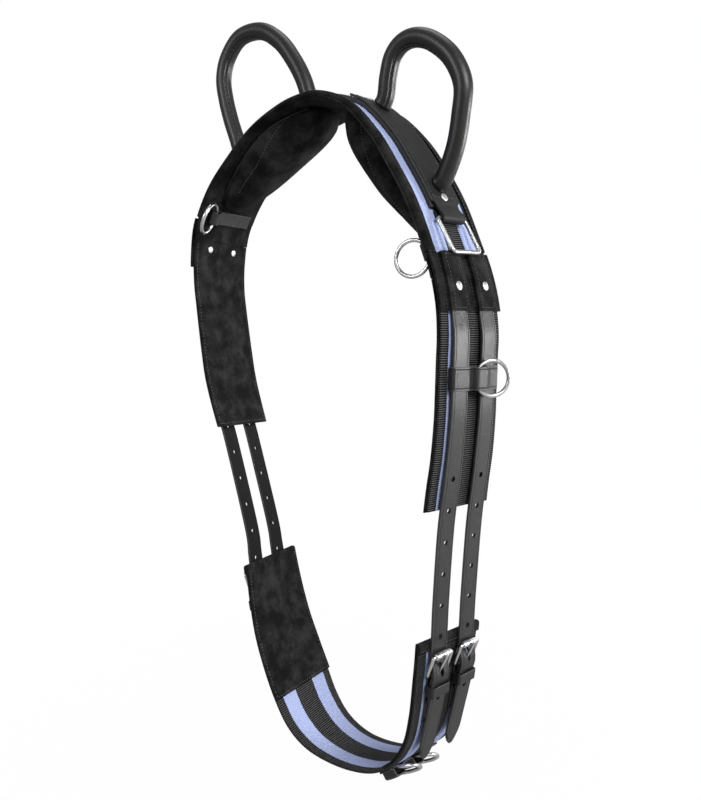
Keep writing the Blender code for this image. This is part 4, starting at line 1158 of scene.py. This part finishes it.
def round_ring(node, side, s, y, h, toward, shift=0.0):
    """A welded round ring that hangs from a place of the girth and lies across and outward of it."""
    _, along, across, out = GIRTH.frame(side * s)
    away = (across * toward[0] + out * toward[1]).normalized()
    hang = axes(away, along * side, away.cross(along * side), GIRTH.place(side * s, y, h))
    points = [(x, y, 0) for x, y in arc(RING_RADIUS + shift, 0, RING_RADIUS, 180, -180, 72)[:-1]]
    return ring(node + "_wire", node, points, RING_WIRE, hang)


for side, name in SIDES:
    low = -4.4 - LEATHER / 2
    back = low - LEATHER - 0.3
    reach = RING_WIRE + 2.1 + LEATHER / 2
    edge = [(WEB_HALF - 10, low), (FRONT_RING_Y + reach + 2, low)]
    edge += arc(FRONT_RING_Y, FRONT_RING_HEIGHT, reach, 80, 318, 16)
    edge += [(FRONT_RING_Y + 6.6, back - 3.2), (FRONT_RING_Y + 9, back - 0.8), (FRONT_RING_Y + 12, back)]
    edge += [(FRONT_RING_Y + 54, back)]
    span = (RING_STRAP_AT - RING_STRAP_HALF, RING_STRAP_AT + RING_STRAP_HALF)
    strap(name + "_ring_strap_leather", plain_leather, LEATHER - 0.1, divided(edge, 3), span,
          "section", side, edge=0.6, node=name + "_ring_strap")
    ends = (RING_STRAP_AT - 6, RING_STRAP_AT + 6)
    beside = (RING_STRAP_AT - 6.3, RING_STRAP_AT + 6.3)
    seams = bars(side, beside, FRONT_RING_Y + 15, FRONT_RING_Y + 51, back - SEAM_LIFT)
    seams += rows(side, *ends, (FRONT_RING_Y + 16, FRONT_RING_Y + 51), back - SEAM_LIFT)
    seams += rows(side, *ends, (WEB_HALF - 13,), low - SEAM_LIFT)
    stitching(name + "_ring_strap_stitching", seams)
    round_ring(name + "_front_ring", side, RING_STRAP_AT, FRONT_RING_Y, FRONT_RING_HEIGHT,
               FRONT_RING_TOWARD[side], -1.1)


# A band of leather goes round both billets of a side and slides on them. It stands up in the
# middle over the second rein ring, which lies between the billets.
CROSS_AT = 373.0
CROSS_WIDTH = 25.0
SIDE_RING_Y = 3.0
SIDE_RING_HEIGHT = WEB_FACE + LEATHER + RING_WIRE + 0.4
SIDE_RING_TURN = math.radians(30)

band_leather = leather("band leather", CROSS_WIDTH / 2, 0.3)


def band(node, finish, half, low, high, bend, over, start, wide, thick, edge, side, y=0.0):
    """A closed band of leather round one or two billets, with what it rises over on the outside."""
    loop = [(0, low), (-half + bend, low), (-half, low + bend), (-half, high - bend), (-half + bend, high)]
    loop = [(y + place, h) for place, h in loop + over + [(-place, h) for place, h in loop[::-1]]]
    bm = strip(GIRTH, divided(loop, 2), (start, start + wide), "section", side)
    flat = bm.loops.layers.uv["flat"]
    for face in bm.faces:
        for corner in face.loops:
            s, across = corner[flat].uv
            corner[flat].uv = (across, abs(s) - (start + wide / 2) * MM)
    bmesh.ops.remove_doubles(bm, verts=bm.verts, dist=0.00001)
    piece = finished(node + "_leather", bm, finish, node=node, body=node)
    thickened(piece, thick)
    rounded(piece, edge)


for side, name in SIDES:
    half = BILLET_SIDE + BILLET_WIDTH / 2 + 0.8 + LEATHER / 2
    low = WEB_FACE + LEATHER / 2 + 0.1
    high = BILLET_LIFT + BILLET_THICK / 2 + 0.5 + LEATHER / 2
    hump = high + 6.8
    over = raised(SIDE_RING_Y, [(13.5, high), (11.5, high + 1.2), (9.4, hump - 1.2), (7, hump)])
    start = CROSS_AT - CROSS_WIDTH / 2
    node = name + "_cross_keeper"
    band(node, band_leather, half, low, high, 1.5, over, start, CROSS_WIDTH, LEATHER - 0.1, 0.6, side)
    places = (-half + 5, SIDE_RING_Y - 15.2, SIDE_RING_Y + 15.2)
    stitching(node + "_stitching", rows(side, start + 4, start + 21, places, high + SEAM_LIFT), body=node)
    round_ring(name + "_side_ring", side, CROSS_AT, SIDE_RING_Y, SIDE_RING_HEIGHT,
               (math.cos(SIDE_RING_TURN), math.sin(SIDE_RING_TURN)))


# Suede lines each end of the belly webbing and is turned over the end as a binding.
BELLY_LINING = 170.0
BELLY_HALF = WEB_HALF + 1.2

for side, name in SIDES:
    end = BELLY_END[side]
    inner = round((end + BELLY_LINING) * 120 / GIRTH.length) * GIRTH.length / 120
    path = level(inner, end + 2, LINING_HEIGHT)
    path += [(end - 0.4, -2.6), (end - 1.3, -1.4), (end - 1.3, 1.4), (end - 0.4, 2.6)]
    path += [(end + 2, 2.8), (end + 9, 2.8)]
    strap(name + "_belly_lining_suede", suede, SUEDE_THICK - 0.1, path, (-BELLY_HALF, BELLY_HALF),
          side=side, node=name + "_belly_lining")
    low = LINING_HEIGHT - 1.0
    seam = BELLY_HALF - 3.5
    seams = rows(side, end + 4, inner - 3, (-seam, seam), low) + bars(side, (inner - 3,), -seam, seam, low)
    seams += bars(side, (end + 6.6,), -seam - 0.5, seam + 0.5, 3.8)
    stitching(name + "_belly_lining_stitching", seams)


# Each buckle hangs in a chape, a strip of leather folded round its heel bar and sewn to the
# belly webbing. The fold has a slot for the tongue, and a keeper sits in the chape's pocket.
CHAPE_HALF = 11.0
CHAPE_SLOT = (17, 6.4, 18)
KEEPER_WIDTH = 12.0

chape_leather = leather("chape leather", CHAPE_HALF)
for side, title, middle in BUCKLES:
    heel = roller_place(side) + HEEL_AT
    end = roller_place(side) + CHAPE_LENGTH
    low = WEB_FACE + LEATHER / 2
    around = HEEL_HEIGHT - low
    sewn = low + LEATHER + 0.3
    edge = [(end, low), (heel + 6, low), *arc(heel, HEEL_HEIGHT, around, 270, 90, 14)]
    edge += [(heel + 3.4, HEEL_HEIGHT + around - 0.7), (heel + 7, POCKET_HEIGHT + 0.2)]
    edge += [(heel + 9.5, POCKET_HEIGHT), (heel + 25, POCKET_HEIGHT), (heel + 28, POCKET_HEIGHT - 0.5)]
    edge += [(heel + 33, sewn + 0.4), (heel + 36, sewn), (end - 6, sewn)]
    piece = strap(title + "_chape_leather", chape_leather, LEATHER - 0.1, divided(edge, 3),
                  (middle - CHAPE_HALF, middle + CHAPE_HALF), side=side, node=title + "_chape")
    slot = bmesh.new()
    size = Matrix.Diagonal((*(length * MM for length in CHAPE_SLOT), 1))
    spot = GIRTH.matrix(side, heel - 0.5, middle, HEEL_HEIGHT)
    bmesh.ops.create_cube(slot, size=1, matrix=spot @ size)
    cut(piece, [slot])
    first, last, seam = heel + 38, end - 8, CHAPE_HALF - 3.4
    seams = rows(side, first, last, (middle - seam, middle + seam), sewn + SEAM_LIFT)
    seams += bars(side, (first, last), middle - seam + 0.6, middle + seam - 0.6, sewn + SEAM_LIFT)
    stitching(title + "_chape_stitching", seams)

    low = WEB_FACE + LEATHER + 0.3 + LEATHER / 2
    high = POCKET_HEIGHT + LEATHER / 2 + 0.3 + BILLET_THICK + 0.9 + LEATHER / 2
    half = BILLET_WIDTH / 2 + 0.7 + LEATHER / 2
    band(title + "_keeper", plain_leather, half, low, high, 1.2, [], heel + 11, KEEPER_WIDTH,
         LEATHER - 0.3, 0.5, side, middle)


# The roller buckles are bright: a bent frame, a roller that turns on its outer bar, and a
# tongue that wraps the heel bar, goes through the hole in use and rests on the roller.
BUCKLE_WIDTH = 31.0
BUCKLE_CORNER = 2.6
ROLLER_HALF = BUCKLE_WIDTH / 2 - 3
ROLLER_END = ((0, 0.8), (0.15, 0.9), (0.5, 0.97), (1.2, 1.0))
TONGUE_RADIUS = 1.6
COLLAR_WIRE = 0.85
COLLAR_WIDER = 2.6
HEEL_TO_ROLLER = Vector((-HEEL_AT, 0, ROLLER_HEIGHT - HEEL_HEIGHT))

roller_ends = [(-ROLLER_HALF + inward, size) for inward, size in ROLLER_END]
roller_shape = roller_ends + [(0, 1.0)] + [(-y, size) for y, size in roller_ends[::-1]]
for side, title, middle in BUCKLES:
    heel = GIRTH.matrix(side, roller_place(side) + HEEL_AT, middle, HEEL_HEIGHT)
    lean = Matrix.Rotation(math.atan2(HEEL_TO_ROLLER.z, HEEL_AT), 4, "Y")
    points = bent_wire(BUCKLE_WIDTH, HEEL_TO_ROLLER.length, BUCKLE_CORNER, -HEEL_TO_ROLLER.length)
    ring(title + "_buckle_wire", title + "_buckle_frame", points, BUCKLE_WIRE, heel @ lean, 16)
    spots = [heel @ ((HEEL_TO_ROLLER + Vector((0, y, 0))) * MM) for y, _ in roller_shape]
    along_roller = heel.to_3x3() @ Vector((1, 0, 0))
    bm = tube(spots, ROLLER_RADIUS, along_roller, False, 28,
              lambda share, turn: roller_shape[round(share * (len(roller_shape) - 1))][1])
    finished(title + "_roller_tube", bm, nickel, node=title + "_roller", body=title + "_roller")
    bore = BUCKLE_WIRE + 0.25
    tip = HEEL_TO_ROLLER + Vector((-1.2, 0, ROLLER_RADIUS + 0.9 + TONGUE_RADIUS))
    shank = [(-1.8, 0, bore + 0.6), (-4.5, 0, bore + 1.6)]
    shank += [(tip.x + k, 0, tip.z - 0.36 * k) for k in (8, 4, 0)] + [(tip.x - 2.4, 0, tip.z - 0.2)]
    spots = [heel @ (Vector(p) * MM) for p in smooth(shank)]
    sideways = heel.to_3x3() @ Vector((0, 1, 0))
    bm = tube(spots, TONGUE_RADIUS, sideways, False, 16,
              lambda share, turn: math.sqrt(max(1 - max((share - 0.93) / 0.075, 0) ** 2, 0.06)))
    loop = arc(0, 0, bore + COLLAR_WIRE, 0, 360, 28)[:-1]
    collar = tube([heel @ (Vector((x, 0, z)) * MM) for x, z in loop], COLLAR_WIRE, sideways, True, 12)
    for vert in collar.verts:
        spot = heel.inverted() @ vert.co
        spot.y *= COLLAR_WIDER
        vert.co = heel @ spot
    mesh = bpy.data.meshes.new("collar")
    collar.to_mesh(mesh)
    collar.free()
    bm.from_mesh(mesh)
    finished(title + "_tongue_wire", bm, nickel, node=title + "_tongue", body=title + "_tongue")


# A last leather strap crosses the outside of the belly webbing on the near side, with two
# raised tunnels. A ring hinges in each of them, for a martingale or side reins.
BELLY_STRAP_AT = BELLY_END[1] + 175
BELLY_STRAP_SEAMS = ((-46, -45.4), (-20.4, -8.6), (16.6, 46))
BELLY_RINGS = ((-33.0, "front"), (4.0, "rear"))
BELLY_RING_TURN = math.radians(20)

low = WEB_FACE + LEATHER / 2
hump = WEB_FACE + 2 * RING_WIRE + LEATHER / 2 + 4.8
edge = [(-WEB_HALF + 2, low)]
for y, _ in BELLY_RINGS:
    edge += raised(y, [(11.5, low), (9.6, low + 1.0), (7.8, hump - 1.2), (6, hump)])
edge += [(WEB_HALF - 2, low)]
strap("belly_strap_leather", plain_leather, LEATHER - 0.1, divided(edge, 2.5),
      (BELLY_STRAP_AT - 9, BELLY_STRAP_AT + 9), "section", edge=0.6, node="belly_strap")
seams = rows(1, BELLY_STRAP_AT - 6, BELLY_STRAP_AT + 6, (-19.5, -9.5, 17.5, 45), low + SEAM_LIFT)
for start, end in BELLY_STRAP_SEAMS:
    seams += bars(1, (BELLY_STRAP_AT - 6.4, BELLY_STRAP_AT + 6.4), start, end, low + SEAM_LIFT)
stitching("belly_strap_stitching", seams)
for y, edge_name in BELLY_RINGS:
    round_ring(f"belly_{edge_name}_ring", 1, BELLY_STRAP_AT, y, WEB_FACE + RING_WIRE,
               (math.cos(BELLY_RING_TURN), math.sin(BELLY_RING_TURN)))
